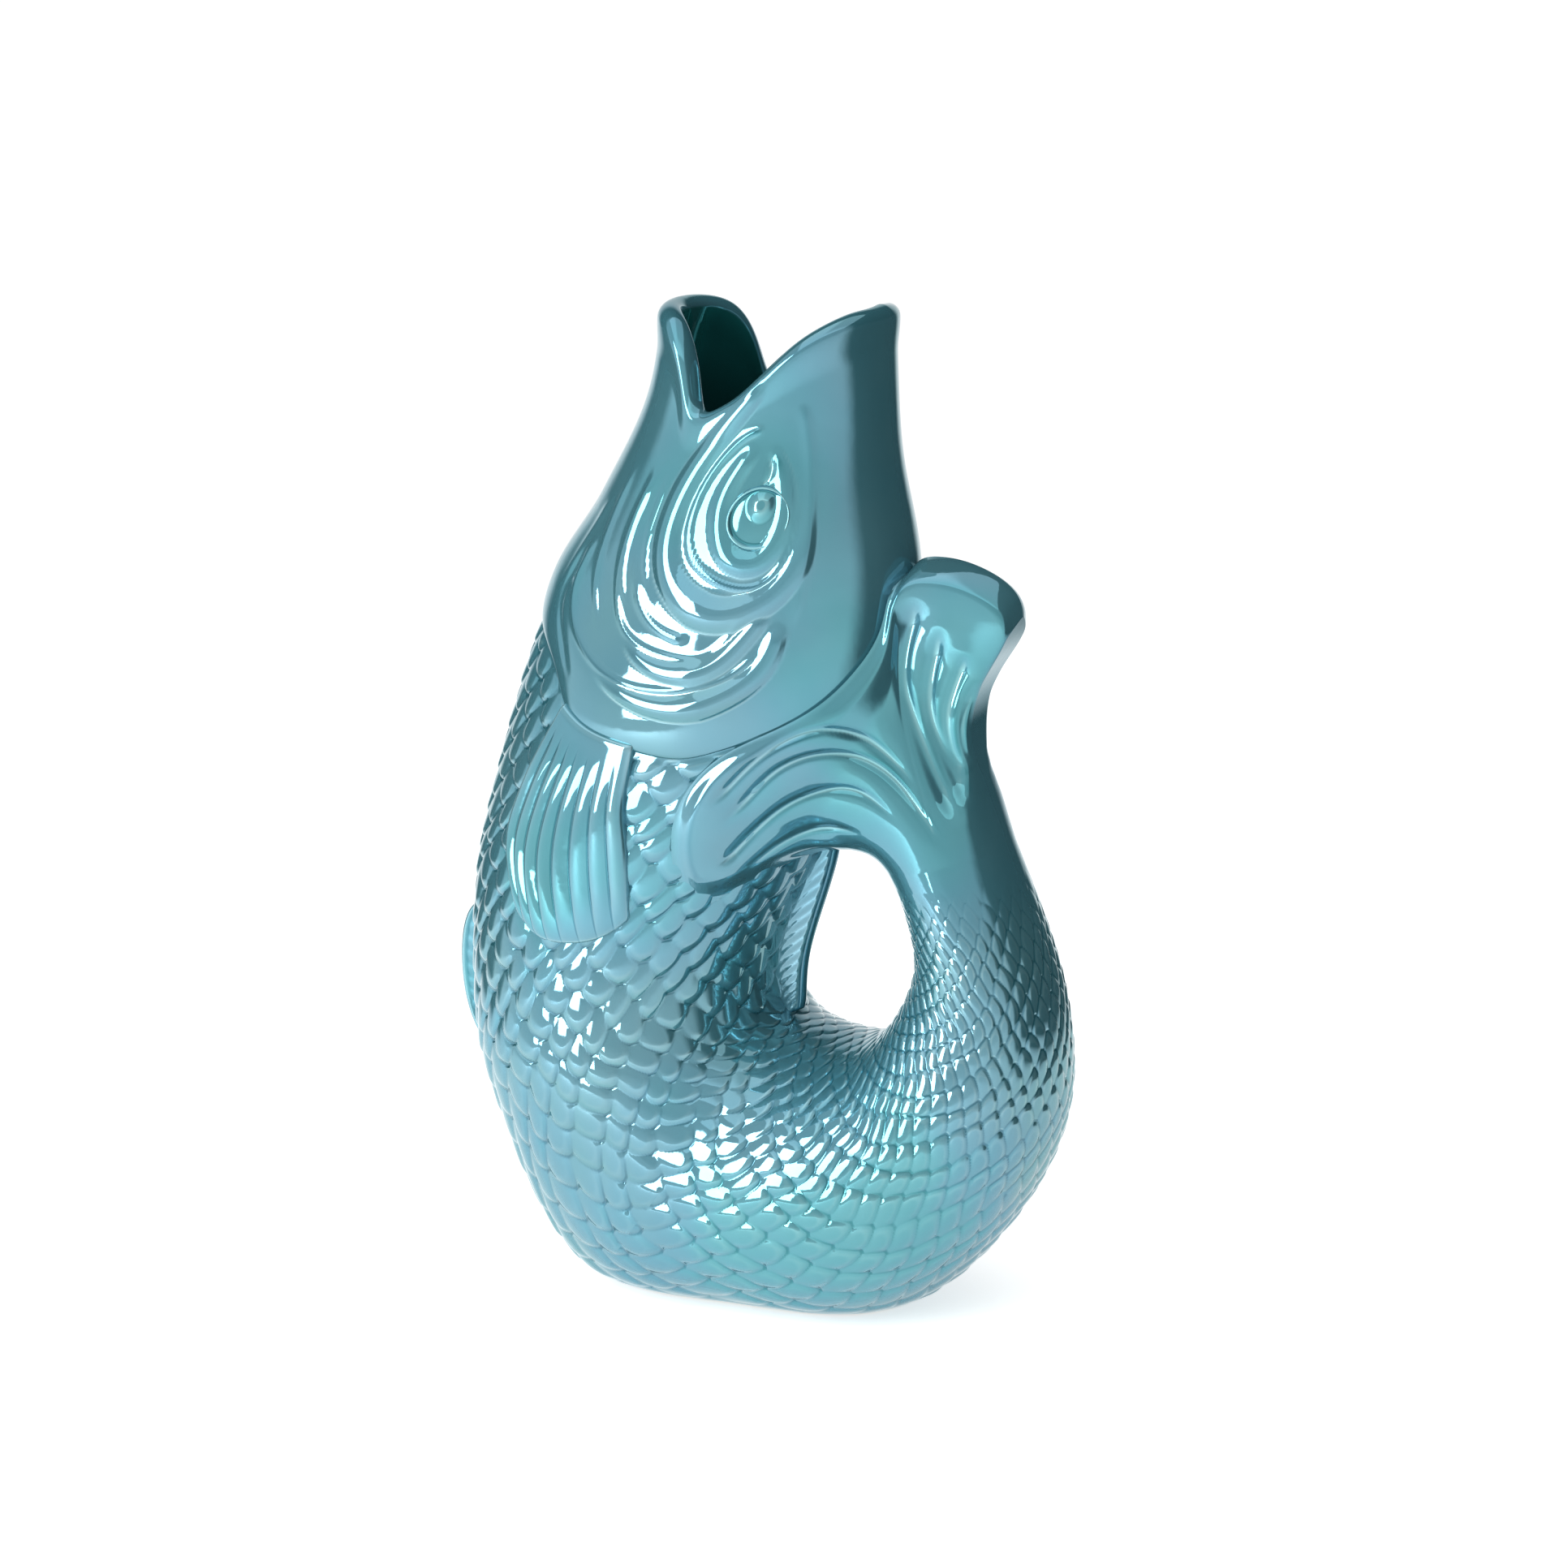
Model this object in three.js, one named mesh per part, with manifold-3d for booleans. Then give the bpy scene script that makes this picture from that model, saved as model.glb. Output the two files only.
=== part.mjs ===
// A fish-shaped carafe in glazed stoneware. The fish stands head up: its open mouth is the spout,
// its belly holds the water, and its tail curls round a finger hole and returns as the handle.
// +Z is up, +X points from the belly to the handle, and the fish's left flank faces -Y.
import * as THREE from 'three';
import { mergeVertices } from 'three/addons/utils/BufferGeometryUtils.js';
import Module from 'manifold-3d';

const wasm = await Module();
wasm.setup();

// Driving dimensions in millimetres

// Sections of the fish from the lips down the belly, round the foot and up the tail. Each has its
// back and belly points in the middle plane (x, z) and its half width. Places along the fish are
// counted in these sections, and places around it in degrees from the belly to the back.
const SECTIONS = [
  { at: 'lips', back: [34.4, 265], belly: [-26.3, 262.5], half: 27 },
  { at: 'mouth corner', back: [35.5, 240], belly: [-30.5, 239], half: 26.5 },
  { at: 'eye', back: [37.4, 220], belly: [-41, 217], half: 30.5 },
  { at: 'nape', back: [41.5, 197], belly: [-54, 192], half: 36 },
  { at: 'gill', back: [39.5, 168], belly: [-64.8, 165], half: 41 },
  { at: 'shoulder', back: [29, 142], belly: [-73.3, 135.6], half: 44.3 },
  { at: 'breast', back: [14, 115], belly: [-78.8, 107.5], half: 45.9 },
  { at: 'belly', back: [4.5, 91], belly: [-78.3, 71.5], half: 47.6 },
  { at: 'vent', back: [7, 77], belly: [-70.8, 44.5], half: 48.3 },
  { at: 'foot front', back: [16, 73], belly: [-46.8, 2.2], half: 45.4 },
  { at: 'foot middle', back: [26, 71.5], belly: [-1.5, -4.5], half: 45.2 },
  { at: 'foot rear', back: [34.5, 74], belly: [43.5, 1], half: 41.2 },
  { at: 'tail root', back: [40.5, 81.5], belly: [76.4, 36.5], half: 32.8 },
  { at: 'handle', back: [44.6, 92], belly: [84.8, 68], half: 25.5 },
  { at: 'upper handle', back: [43.6, 104], belly: [80, 97], half: 22 },
  { at: 'tail end', back: [36.5, 118.5], belly: [68.6, 127], half: 19.5 },
];

// Castings
const WALL = 5; // clay wall of the hollow castings
const FLOOR = 6; // clay between the foot and the water
const LUTE = 0.3; // slip joint between two pieces
const LIP_ROUND = 2.5; // height of the rounding on the lip
const LIP_SECTION = 0.5; // section whose spacing turns the heights at the lip into sections
const GILL_STEP = 1.5; // height of the gill cover's edge above the breast
const GILL_FADE = 14; // length over which that edge fades into the cheek
const TAIL_JOINT = 12; // section where the tail is luted to the body

// Height of the lip below the tips of the jaws, as [degrees, drop]: a rounded V on each side
const MOUTH_EDGE = [
  [0, 0.3], [22, 0.8], [44, 3.8], [58, 11.5], [66, 20.5], [74, 26.8], [83, 25.6], [93, 21.5], [108, 13.6],
  [126, 6.8], [148, 2.9], [165, 2], [180, 1.5],
];

// Lower edge of the gill cover, as [degrees, section]
const GILL_EDGE = [[0, 3.3], [45, 3.75], [65, 4.25], [90, 4.5], [108, 4.55], [130, 4.35], [180, 4.1]];

// Eyes, lids and cheek folds
const EYE_AT = [111, 2.3]; // degrees, section
const EYE_RADIUS = 8;
const EYE_HEIGHT = 2.2;
const EYE_EDGE = 0.8; // height of the eye at its rim
const EYE_RING = 1.55; // height of the ring round the pupil
const EYE_GROOVE = 5.5; // radius of the groove between ring and pupil
const PUPIL_RADIUS = 3.8;
const PUPIL_CROWN = [2.85, 1.87]; // radius and height where the pupil turns over to its top
const LID_RADIUS = 15.5; // ridge of the lid round the eye
const FOLD_RADII = [30, 48]; // ridges of the broad cheek folds below the eye
const FOLD_HEIGHT = 1.3;
const FOLD_WIDTH = 4.2;
const FOLD_CENTRE = -115; // middle of the folds' sweep round the eye, degrees
const FOLD_SWEEP = 90; // half of that sweep, degrees

// Tail fin, its edges as points (x, z) in side view
const FIN_LOWER_EDGE = [[31, 122.5], [20, 121.5], [9, 110]];
const FIN_LOWER_TIP = [-1, 95];
const FIN_TRAILING_EDGE = [
  [-8, 116], [-7.5, 136], [3, 155], [18, 162.5], [32.5, 175], [42, 198.5], [57, 198.9],
];
const FIN_UPPER_TIP = [72, 188];
const FIN_CORNER = [67, 194.3]; // trailing edge just before the upper tip
const FIN_UPPER_EDGE = [[62.6, 142.5], [59.8, 154], [61.5, 167], [67.5, 178]];
const FIN_LIFT = 4; // height of the trailing edge above the flank
const LOBE_HALF = 7.5; // half thickness of the upper lobe
const FIN_ROLL = 0.12; // share of the fin's length taken by its rounded trailing edge
const FIN_SWELL = 1.6; // how late along the fin its thickness changes from the tail's to the lobes'
const FIN_OVERLAP = [0.1, 0.4]; // shares of the fin's length between which it rises over the flank
const FIN_EDGE_ROUND = [0.22, 0.15]; // shares of its width over which its lower and upper edges round off
const LOWER_FLUTES = [0.1, 0.19, 0.28, 0.37]; // grooves across the fin, from its lower to its upper edge
const UPPER_FLUTES = [0.66, 0.75, 0.83, 0.91];
const FLUTE_DEPTH = 1.6;
const FLUTE_WIDTH = 0.022; // share of the fin's width
const FLUTE_START = [0.05, 0.35]; // shares of the fin's length where the flutes come up, and where they end
const FLUTE_END = [0.7, 0.9];

// Breast fins, their edges as [degrees, section]
const BREAST_FIN_ROOT = [[62, 4.28], [74, 4.46], [88, 4.58]];
const BREAST_FIN_FRONT = [[57, 4.6], [55, 5.1], [57, 5.5]];
const BREAST_FIN_FRONT_TIP = [68, 6.1];
const BREAST_FIN_END = [[78, 6.27], [89, 6.33], [101, 6.3]];
const BREAST_FIN_REAR_TIP = [110, 6.15];
const BREAST_FIN_REAR = [[90, 4.95], [96, 5.35], [106, 5.8]];
const BREAST_FIN_RISE = 3;
const BREAST_FIN_EDGE = 1.2;
const BREAST_FIN_CROWN = [0.12, 1]; // stretches of half a wave that crown it across, and along
const BREAST_FIN_BULGE = [0.15, 0.95];
const BREAST_FIN_RIBS = 8;
const RIB_HEIGHT = 0.9;

// Fins in the middle plane
const DORSAL_FIN_ENDS = [5.7, 8.2]; // sections
const DORSAL_FIN_HEIGHT = 9;
const BELLY_FIN_ENDS = [6.3, 7.85];
const BELLY_FIN_HEIGHT = 11;
const BELLY_FIN_LEAN = 0.6; // power that moves its highest place towards the head
const THIN_FIN = 3.4; // thickness at the root
const THIN_FIN_EDGE = 1.4; // thickness at the edge
const THIN_FIN_ARCH = [0.04, 0.96]; // stretch of half a wave that its height follows

// Facets
const AROUND = 44;
const TAIL_AROUND = 36;
const HEAD_ROWS = 26;
const BODY_ROWS = 24;
const TAIL_ROWS = 12;
const INNER_SHARE = 0.45; // rows of the inner wall for each row of the outer wall
const LIP_ROWS = 4;
const SEAT_ROWS = 16; // rows of the body that the tail fin can reach
const SEAT_SECTIONS = [1, 8]; // sections that the tail fin can reach
const FIN_ROWS = 20;
const FIN_AROUND = 64;
const BREAST_FIN_ROWS = 10;
const RIB_FACETS = 3;
const THIN_FIN_ROWS = 16;
const THIN_FIN_FACETS = 3;
const EYE_AROUND = 24;
const EDGE_FACETS = 40; // straight pieces of an edge between two of its knots

const LAST = SECTIONS.length - 1;
const STEP = 1e-3; // section step for slopes

const middle = ([x, z], y = 0) => new THREE.Vector3(x, y, z);
const radians = THREE.MathUtils.degToRad;
const smooth = (x, from, to) => THREE.MathUtils.smoothstep(x, from, to);
const spline = (points) => new THREE.CatmullRomCurve3(points, false, 'catmullrom');

// Rails of the fish: its back, its belly, and its half widths held in y
const backRail = spline(SECTIONS.map(({ back }) => middle(back)));
const bellyRail = spline(SECTIONS.map(({ belly }) => middle(belly)));
const flankRail = spline(
  SECTIONS.map(({ back, belly, half }) => middle(back, half).lerp(middle(belly, half), 0.5)),
);

// A smooth edge given at some angles from the belly to the back, the same on both flanks
function edgeAround(knots) {
  const curve = spline(knots.map(([degrees, value]) => new THREE.Vector3(degrees, value, 0)));
  const table = curve.getPoints(EDGE_FACETS * (knots.length - 1));
  return (angle) => {
    const folded = Math.acos(THREE.MathUtils.clamp(Math.cos(angle), -1, 1));
    const degrees = THREE.MathUtils.radToDeg(folded);
    const next = Math.max(1, table.findIndex((point) => point.x >= degrees - 1e-9));
    const [low, high] = [table[next - 1], table[next]];
    return THREE.MathUtils.mapLinear(degrees, low.x, high.x, low.y, high.y);
  };
}

// Point of the fish's skin at a section and an angle from the belly, lifted outwards by some height.
// Each section is an ellipse between the two rails, and nothing goes below the given floor.
function skin(section, angle, lift = 0, floor = 0) {
  const share = section / LAST;
  const [back, belly, flank] = [backRail, bellyRail, flankRail].map((rail) => rail.getPoint(share));
  const depth = belly.clone().sub(back).multiplyScalar(0.5);
  const [deep, wide] = [depth.length(), flank.y];
  const [cosine, sine] = [Math.cos(angle), Math.sin(angle)];
  const outward = new THREE.Vector2(wide * cosine, deep * sine).normalize();
  const point = middle([flank.x, flank.z]);
  point.addScaledVector(depth.normalize(), deep * cosine + lift * outward.x);
  point.y = -(wide * sine + lift * outward.y);
  point.z = Math.max(point.z, floor);
  return point;
}

// Millimetres that the skin moves for each section, and for each radian around
const lengthwise = (section, angle) =>
  skin(section + STEP, angle, 0, -Infinity).distanceTo(skin(section, angle, 0, -Infinity)) / STEP;
const crosswise = (section, angle) => skin(section, angle + STEP).distanceTo(skin(section, angle)) / STEP;

const mouthDrop = edgeAround(MOUTH_EDGE);
const gillEdge = edgeAround(GILL_EDGE);
const lipAt = (angle) => mouthDrop(angle) / lengthwise(LIP_SECTION, angle);

// Relief of the head: the lid and the folds ring the eye, and the gill cover stands off the breast
const eyeCentre = skin(EYE_AT[1], radians(EYE_AT[0]));
function headRelief(section, angle) {
  const point = skin(section, angle);
  const [x, z] = [point.x - eyeCentre.x, point.z - eyeCentre.z];
  const distance = Math.hypot(x, z);
  const turn = THREE.MathUtils.radToDeg(Math.atan2(z, x)) - FOLD_CENTRE;
  const aside = Math.abs(THREE.MathUtils.euclideanModulo(turn + 180, 360) - 180);
  const sweep = 1 - smooth(aside, FOLD_SWEEP / 2, FOLD_SWEEP);
  const ridge = (radius) => Math.exp(-(((distance - radius) / FOLD_WIDTH) ** 2));
  const folds = FOLD_RADII.reduce((sum, radius) => sum + ridge(radius), 0);
  const toGill = (gillEdge(angle) - section) * lengthwise(section, angle);
  const gill = GILL_STEP * (1 - smooth(toGill, 0, GILL_FADE));
  return FOLD_HEIGHT * (ridge(LID_RADIUS) + sweep * folds) + gill;
}

// Closed surface through rings of points. The last ring joins the first, or both ends are capped.
function loft(rings, { joined = false } = {}) {
  const [count, around] = [rings.length, rings[0].length];
  const positions = rings.flat().flatMap(({ x, y, z }) => [x, y, z]);
  const faces = [];
  for (let ring = 0; ring < (joined ? count : count - 1); ring += 1) {
    for (let place = 0; place < around; place += 1) {
      const [low, high] = [ring * around, ((ring + 1) % count) * around];
      const next = (place + 1) % around;
      faces.push(low + place, low + next, high + next, low + place, high + next, high + place);
    }
  }
  if (!joined) {
    for (const [ring, turn] of [[0, 1], [count - 1, -1]]) {
      const centre = rings[ring].reduce((sum, point) => sum.add(point), new THREE.Vector3());
      centre.divideScalar(around);
      const hub = positions.length / 3;
      positions.push(centre.x, centre.y, centre.z);
      for (let place = 0; place < around; place += 1) {
        const pair = [ring * around + place, ring * around + ((place + 1) % around)];
        faces.push(hub, ...(turn > 0 ? pair.reverse() : pair));
      }
    }
  }
  return solid(positions, faces);
}

// Closed slab between two sheets of points, both given as sheet(u, v) with u and v from 0 to 1
function slab(across, along, upper, lower) {
  const positions = [];
  const faces = [];
  const size = (across + 1) * (along + 1);
  for (const sheet of [upper, lower]) {
    for (let row = 0; row <= along; row += 1) {
      for (let column = 0; column <= across; column += 1) {
        const { x, y, z } = sheet(column / across, row / along);
        positions.push(x, y, z);
      }
    }
  }
  const at = (column, row, side) => side * size + row * (across + 1) + column;
  const quad = (a, b, c, d) => faces.push(a, b, c, a, c, d);
  for (let row = 0; row < along; row += 1) {
    for (let column = 0; column < across; column += 1) {
      quad(at(column, row, 0), at(column + 1, row, 0), at(column + 1, row + 1, 0), at(column, row + 1, 0));
      quad(at(column, row, 1), at(column, row + 1, 1), at(column + 1, row + 1, 1), at(column + 1, row, 1));
    }
  }
  for (let row = 0; row < along; row += 1) {
    quad(at(0, row, 0), at(0, row + 1, 0), at(0, row + 1, 1), at(0, row, 1));
    quad(at(across, row, 0), at(across, row, 1), at(across, row + 1, 1), at(across, row + 1, 0));
  }
  for (let column = 0; column < across; column += 1) {
    quad(at(column, 0, 0), at(column, 0, 1), at(column + 1, 0, 1), at(column + 1, 0, 0));
    quad(at(column, along, 0), at(column + 1, along, 0), at(column + 1, along, 1), at(column, along, 1));
  }
  return solid(positions, faces);
}

// Merged geometry with its faces pointing out
function solid(positions, faces) {
  const geometry = new THREE.BufferGeometry();
  geometry.setAttribute('position', new THREE.Float32BufferAttribute(positions, 3));
  geometry.setIndex(faces);
  const merged = mergeVertices(geometry, 1e-4);
  const index = merged.getIndex().array;
  const whole = [];
  for (let face = 0; face < index.length; face += 3) {
    const [a, b, c] = index.slice(face, face + 3);
    if (a !== b && b !== c && c !== a) whole.push(a, b, c);
  }
  merged.setIndex(volumeOf(merged, whole) < 0 ? whole.reverse() : whole);
  return merged;
}

function volumeOf(geometry, index) {
  const place = geometry.getAttribute('position');
  const [a, b, c] = [new THREE.Vector3(), new THREE.Vector3(), new THREE.Vector3()];
  let volume = 0;
  for (let face = 0; face < index.length; face += 3) {
    [a, b, c].forEach((corner, k) => corner.fromBufferAttribute(place, index[face + k]));
    volume += a.dot(b.cross(c)) / 6;
  }
  return volume;
}

// What is left of one solid after another is cut away
function cut(geometry, tool) {
  const [body, blade] = [geometry, tool].map(
    (shape) =>
      new wasm.Manifold(
        new wasm.Mesh({
          numProp: 3,
          vertProperties: new Float32Array(shape.getAttribute('position').array),
          triVerts: new Uint32Array(shape.getIndex().array),
        }),
      ),
  );
  const left = body.subtract(blade).getMesh();
  const result = new THREE.BufferGeometry();
  result.setAttribute('position', new THREE.Float32BufferAttribute(left.vertProperties, 3));
  result.setIndex([...left.triVerts]);
  return result;
}

// One ring around the fish, each point placed by its angle
function ring(around, place) {
  return Array.from({ length: around }, (_, k) => place((2 * Math.PI * k) / around));
}

const steps = (count) => Array.from({ length: count + 1 }, (_, k) => k / count);
const mix = THREE.MathUtils.lerp;
const softMax = (a, b, blend) => (a + b + Math.hypot(a - b, blend)) / 2;

// Edges of the castings, half a joint away from the line where they meet
const headEnd = (angle) => gillEdge(angle) - LUTE / 2 / lengthwise(gillEdge(angle), angle);
const bodyStart = (angle) => gillEdge(angle) + LUTE / 2 / lengthwise(gillEdge(angle), angle);
const bodyEnd = (angle) => TAIL_JOINT - LUTE / 2 / lengthwise(TAIL_JOINT, angle);
const tailStart = (angle) => TAIL_JOINT + LUTE / 2 / lengthwise(TAIL_JOINT, angle);

// Rings of the outer skin of the head, from the gill cover's edge up to the lip, and of a plain
// stretch between two edges, all lifted alike
const belowLip = (angle) => lipAt(angle) + LIP_ROUND / lengthwise(LIP_SECTION, angle);
const headSkin = (lift) =>
  steps(HEAD_ROWS).map((t) =>
    ring(AROUND, (angle) => {
      const section = mix(headEnd(angle), belowLip(angle), t);
      return skin(section, angle, headRelief(section, angle) + lift);
    }),
  );
const plainSkin = (start, end, rows, around, lift) =>
  steps(rows).map((t) => ring(around, (angle) => skin(mix(start(angle), end(angle), t), angle, lift)));

// Head: outer skin up to the lip, round over the lip, and down the inner wall
function headCasting() {
  const lip = steps(LIP_ROWS).slice(1, -1).map((t) =>
    ring(AROUND, (angle) => {
      const rise = (LIP_ROUND * Math.sin(Math.PI * t)) / lengthwise(LIP_SECTION, angle);
      return skin(belowLip(angle) - rise, angle, (-WALL * (1 - Math.cos(Math.PI * t))) / 2);
    }),
  );
  const inner = steps(Math.round(HEAD_ROWS * INNER_SHARE)).map((t) =>
    ring(AROUND, (angle) => skin(mix(belowLip(angle), headEnd(angle), t), angle, -WALL)),
  );
  return loft([...headSkin(0), ...lip, ...inner], { joined: true });
}

// A plain stretch of the hollow fish between two edges
function casting(start, end, rows, around) {
  const inner = steps(Math.round(rows * INNER_SHARE)).map((t) =>
    ring(around, (angle) => skin(mix(end(angle), start(angle), t), angle, -WALL, FLOOR)),
  );
  return loft([...plainSkin(start, end, rows, around, 0), ...inner], { joined: true });
}

// Solid of the head and body without their hollow, one joint larger all round
function seat() {
  const body = plainSkin(bodyStart, bodyEnd, BODY_ROWS, AROUND, LUTE);
  return loft([...body.slice(0, SEAT_ROWS).reverse(), ...headSkin(LUTE)]);
}

// Half width of the plain flank at a point (x, z) of the side view, or zero beside the fish
function flankAt(x, z) {
  const ahead = (section) => {
    const [back, belly] = [skin(section, Math.PI), skin(section, 0)];
    return (belly.x - back.x) * (z - back.z) - (belly.z - back.z) * (x - back.x);
  };
  let [above, below] = SEAT_SECTIONS;
  let half = (above + below) / 2;
  while (half > above && half < below) {
    if (ahead(half) > 0 === ahead(SEAT_SECTIONS[0]) > 0) above = half;
    else below = half;
    half = (above + below) / 2;
  }
  const [back, belly] = [skin(above, Math.PI), skin(above, 0)];
  const share = (2 * (x - back.x)) / (belly.x - back.x) - 1;
  const width = flankRail.getPoint(above / LAST).y;
  return width * Math.sqrt(Math.max(0, 1 - share * share));
}

// Forked tail fin. In side view it is a patch between four edges: the tail's end, the lower edge over
// the finger hole, the upper edge behind the thumb, and the trailing edge on the fish's flanks.
// Its half thickness grows from the tail's own section to the flank under the trailing edge.
function tailFinBlank() {
  const end = [backRail.getPoint(1), bellyRail.getPoint(1)];
  const off = new THREE.Vector3(end[0].z - end[1].z, 0, end[1].x - end[0].x).setLength(LUTE);
  const [inner, outer] = end.map((point) => point.clone().add(off));
  const [lowerTip, upperTip] = [middle(FIN_LOWER_TIP), middle(FIN_UPPER_TIP)];
  const lowerEdge = spline([inner, ...FIN_LOWER_EDGE.map((p) => middle(p)), lowerTip]);
  const upperEdge = spline([outer, ...FIN_UPPER_EDGE.map((p) => middle(p)), upperTip]);
  const trailing = [...FIN_TRAILING_EDGE, FIN_CORNER].map((p) => middle(p));
  const trailingEdge = spline([lowerTip, ...trailing, upperTip]);
  const tailHalf = flankRail.getPoint(1).y;

  const rounded = (t) => (1 - (1 - THREE.MathUtils.clamp(t, 0, 1)) ** 3) ** (1 / 3);
  const flutes = (across, centres) =>
    centres.reduce((sum, centre) => sum + Math.exp(-(((across - centre) / FLUTE_WIDTH) ** 2)), 0);

  const place = (across, along, side) => {
    const point = new THREE.Vector3();
    point.addScaledVector(inner.clone().lerp(outer, across), 1 - along);
    point.addScaledVector(trailingEdge.getPoint(across), along);
    point.addScaledVector(lowerEdge.getPoint(along), 1 - across);
    point.addScaledVector(upperEdge.getPoint(along), across);
    point.addScaledVector(inner, -(1 - across) * (1 - along));
    point.addScaledVector(outer, -across * (1 - along));
    point.addScaledVector(lowerTip, -(1 - across) * along);
    point.addScaledVector(upperTip, -across * along);
    const tail = tailHalf * 2 * Math.sqrt(across * (1 - across));
    const edge = trailingEdge.getPoint(across);
    const lobe = Math.max(flankAt(edge.x, edge.z) + FIN_LIFT, LOBE_HALF);
    const ends = rounded(across / FIN_EDGE_ROUND[0]) * rounded((1 - across) / FIN_EDGE_ROUND[1]);
    const over = (flankAt(point.x, point.z) + FIN_LIFT) * smooth(along, ...FIN_OVERLAP);
    const roll = Math.max(0, (along - 1 + FIN_ROLL) / FIN_ROLL);
    const groove = flutes(across, LOWER_FLUTES) + flutes(across, UPPER_FLUTES);
    const carved = FLUTE_DEPTH * groove * smooth(along, ...FLUTE_START) * (1 - smooth(along, ...FLUTE_END));
    const half = softMax(mix(tail, lobe * ends, along ** FIN_SWELL), over * ends, FIN_LIFT) - carved;
    point.y = -side * half * Math.sqrt(1 - roll * roll);
    return point;
  };
  const rings = steps(FIN_ROWS).map((along) =>
    ring(FIN_AROUND, (turn) => place((1 - Math.cos(turn)) / 2, along, Math.sign(Math.sin(turn)))),
  );
  return loft(rings);
}

// Ribbed fin on one flank, a patch between its root, its two long edges and its scalloped end
function breastFin(side) {
  const knot = ([degrees, section]) => new THREE.Vector3(degrees, section, 0);
  const [rootFront, rootRear] = [BREAST_FIN_ROOT[0], BREAST_FIN_ROOT.at(-1)].map(knot);
  const [endFront, endRear] = [BREAST_FIN_FRONT_TIP, BREAST_FIN_REAR_TIP].map(knot);
  const root = spline(BREAST_FIN_ROOT.map(knot));
  const front = spline([rootFront, ...BREAST_FIN_FRONT.map(knot), endFront]);
  const rear = spline([rootRear, ...BREAST_FIN_REAR.map(knot), endRear]);
  const tip = spline([endFront, ...BREAST_FIN_END.map(knot), endRear]);
  const place = (across, along) => {
    const at = root.getPoint(across).multiplyScalar(1 - along);
    at.addScaledVector(tip.getPoint(across), along);
    at.addScaledVector(front.getPoint(along), 1 - across);
    at.addScaledVector(rear.getPoint(along), across);
    at.addScaledVector(rootFront, -(1 - across) * (1 - along));
    at.addScaledVector(rootRear, -across * (1 - along));
    at.addScaledVector(endFront, -(1 - across) * along);
    at.addScaledVector(endRear, -across * along);
    return at;
  };
  const sheet = (height) => (across, along) => {
    const at = place(across, along);
    const point = skin(at.y, radians(at.x), LUTE + height(across, along));
    point.y *= side;
    return point;
  };
  const crown = (across, along) => {
    const crowned = Math.sqrt(Math.sin(Math.PI * mix(...BREAST_FIN_CROWN, across)));
    const dome = crowned * Math.sin(Math.PI * mix(...BREAST_FIN_BULGE, along));
    const rib = Math.abs(Math.sin(Math.PI * BREAST_FIN_RIBS * across));
    return mix(BREAST_FIN_EDGE, BREAST_FIN_RISE, dome) + RIB_HEIGHT * rib * Math.sin(Math.PI * along);
  };
  return slab(BREAST_FIN_RIBS * RIB_FACETS, BREAST_FIN_ROWS, sheet(crown), sheet(() => 0));
}

// Eye on one flank: a low disc with a rounded rim and a domed pupil
function eye(side) {
  const [angle, section] = [radians(EYE_AT[0]), EYE_AT[1]];
  const [up, round] = [lengthwise(section, angle), crosswise(section, angle)];
  const place = (radius, turn, height) => {
    const at = section - (radius * Math.sin(turn)) / up;
    const to = angle + (radius * Math.cos(turn)) / round;
    const point = skin(at, to, LUTE + height);
    point.y *= side;
    return point;
  };
  const profile = [
    [0, 0], [EYE_RADIUS / 2, 0], [EYE_RADIUS, 0], [EYE_RADIUS, EYE_EDGE],
    [EYE_RADIUS - EYE_EDGE, EYE_RING], [EYE_GROOVE, EYE_EDGE], [PUPIL_RADIUS, EYE_EDGE], PUPIL_CROWN,
    [0, EYE_HEIGHT],
  ];
  const rings = profile.map(([radius, height]) => ring(EYE_AROUND, (turn) => place(radius, turn, height)));
  return loft(rings);
}

// Thin fin in the middle plane, standing on the back or the belly between two sections
function thinFin([from, to], angle, height, lean = 1) {
  const sheet = (side) => (share, along) => {
    const rise = height * Math.sqrt(Math.sin(Math.PI * mix(...THIN_FIN_ARCH, share ** lean)));
    const point = skin(mix(from, to, share), angle, LUTE + rise * along);
    point.y = (side * mix(THIN_FIN, THIN_FIN_EDGE, along)) / 2;
    return point;
  };
  return slab(THIN_FIN_ROWS, THIN_FIN_FACETS, sheet(1), sheet(-1));
}

const finBlank = tailFinBlank();
const underFin = finBlank.clone().translate(0, 0, -2 * LUTE);
const dorsalFin = cut(thinFin(DORSAL_FIN_ENDS, Math.PI, DORSAL_FIN_HEIGHT), underFin);

const glaze = { color: 0x4f98a6, roughness: 0.12, metalness: 0 };
const PIECES = {
  head_casting: headCasting(),
  body_casting: casting(bodyStart, bodyEnd, BODY_ROWS, AROUND),
  tail_casting: casting(tailStart, () => LAST, TAIL_ROWS, TAIL_AROUND),
  tail_fin: cut(finBlank, seat()),
  dorsal_fin: dorsalFin,
  belly_fin: thinFin(BELLY_FIN_ENDS, 0, BELLY_FIN_HEIGHT, BELLY_FIN_LEAN),
  breast_fin_left: breastFin(1),
  breast_fin_right: breastFin(-1),
  eye_left: eye(1),
  eye_right: eye(-1),
};

const carafe = new THREE.Group();
for (const [name, geometry] of Object.entries(PIECES)) {
  geometry.computeVertexNormals();
  const mesh = new THREE.Mesh(geometry, new THREE.MeshStandardMaterial(glaze));
  mesh.name = name;
  carafe.add(mesh);
}

// The origin is under the middle of the whole carafe
const box = new THREE.Box3().setFromObject(carafe);
carafe.position.x = -(box.min.x + box.max.x) / 2;

export default carafe;
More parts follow.
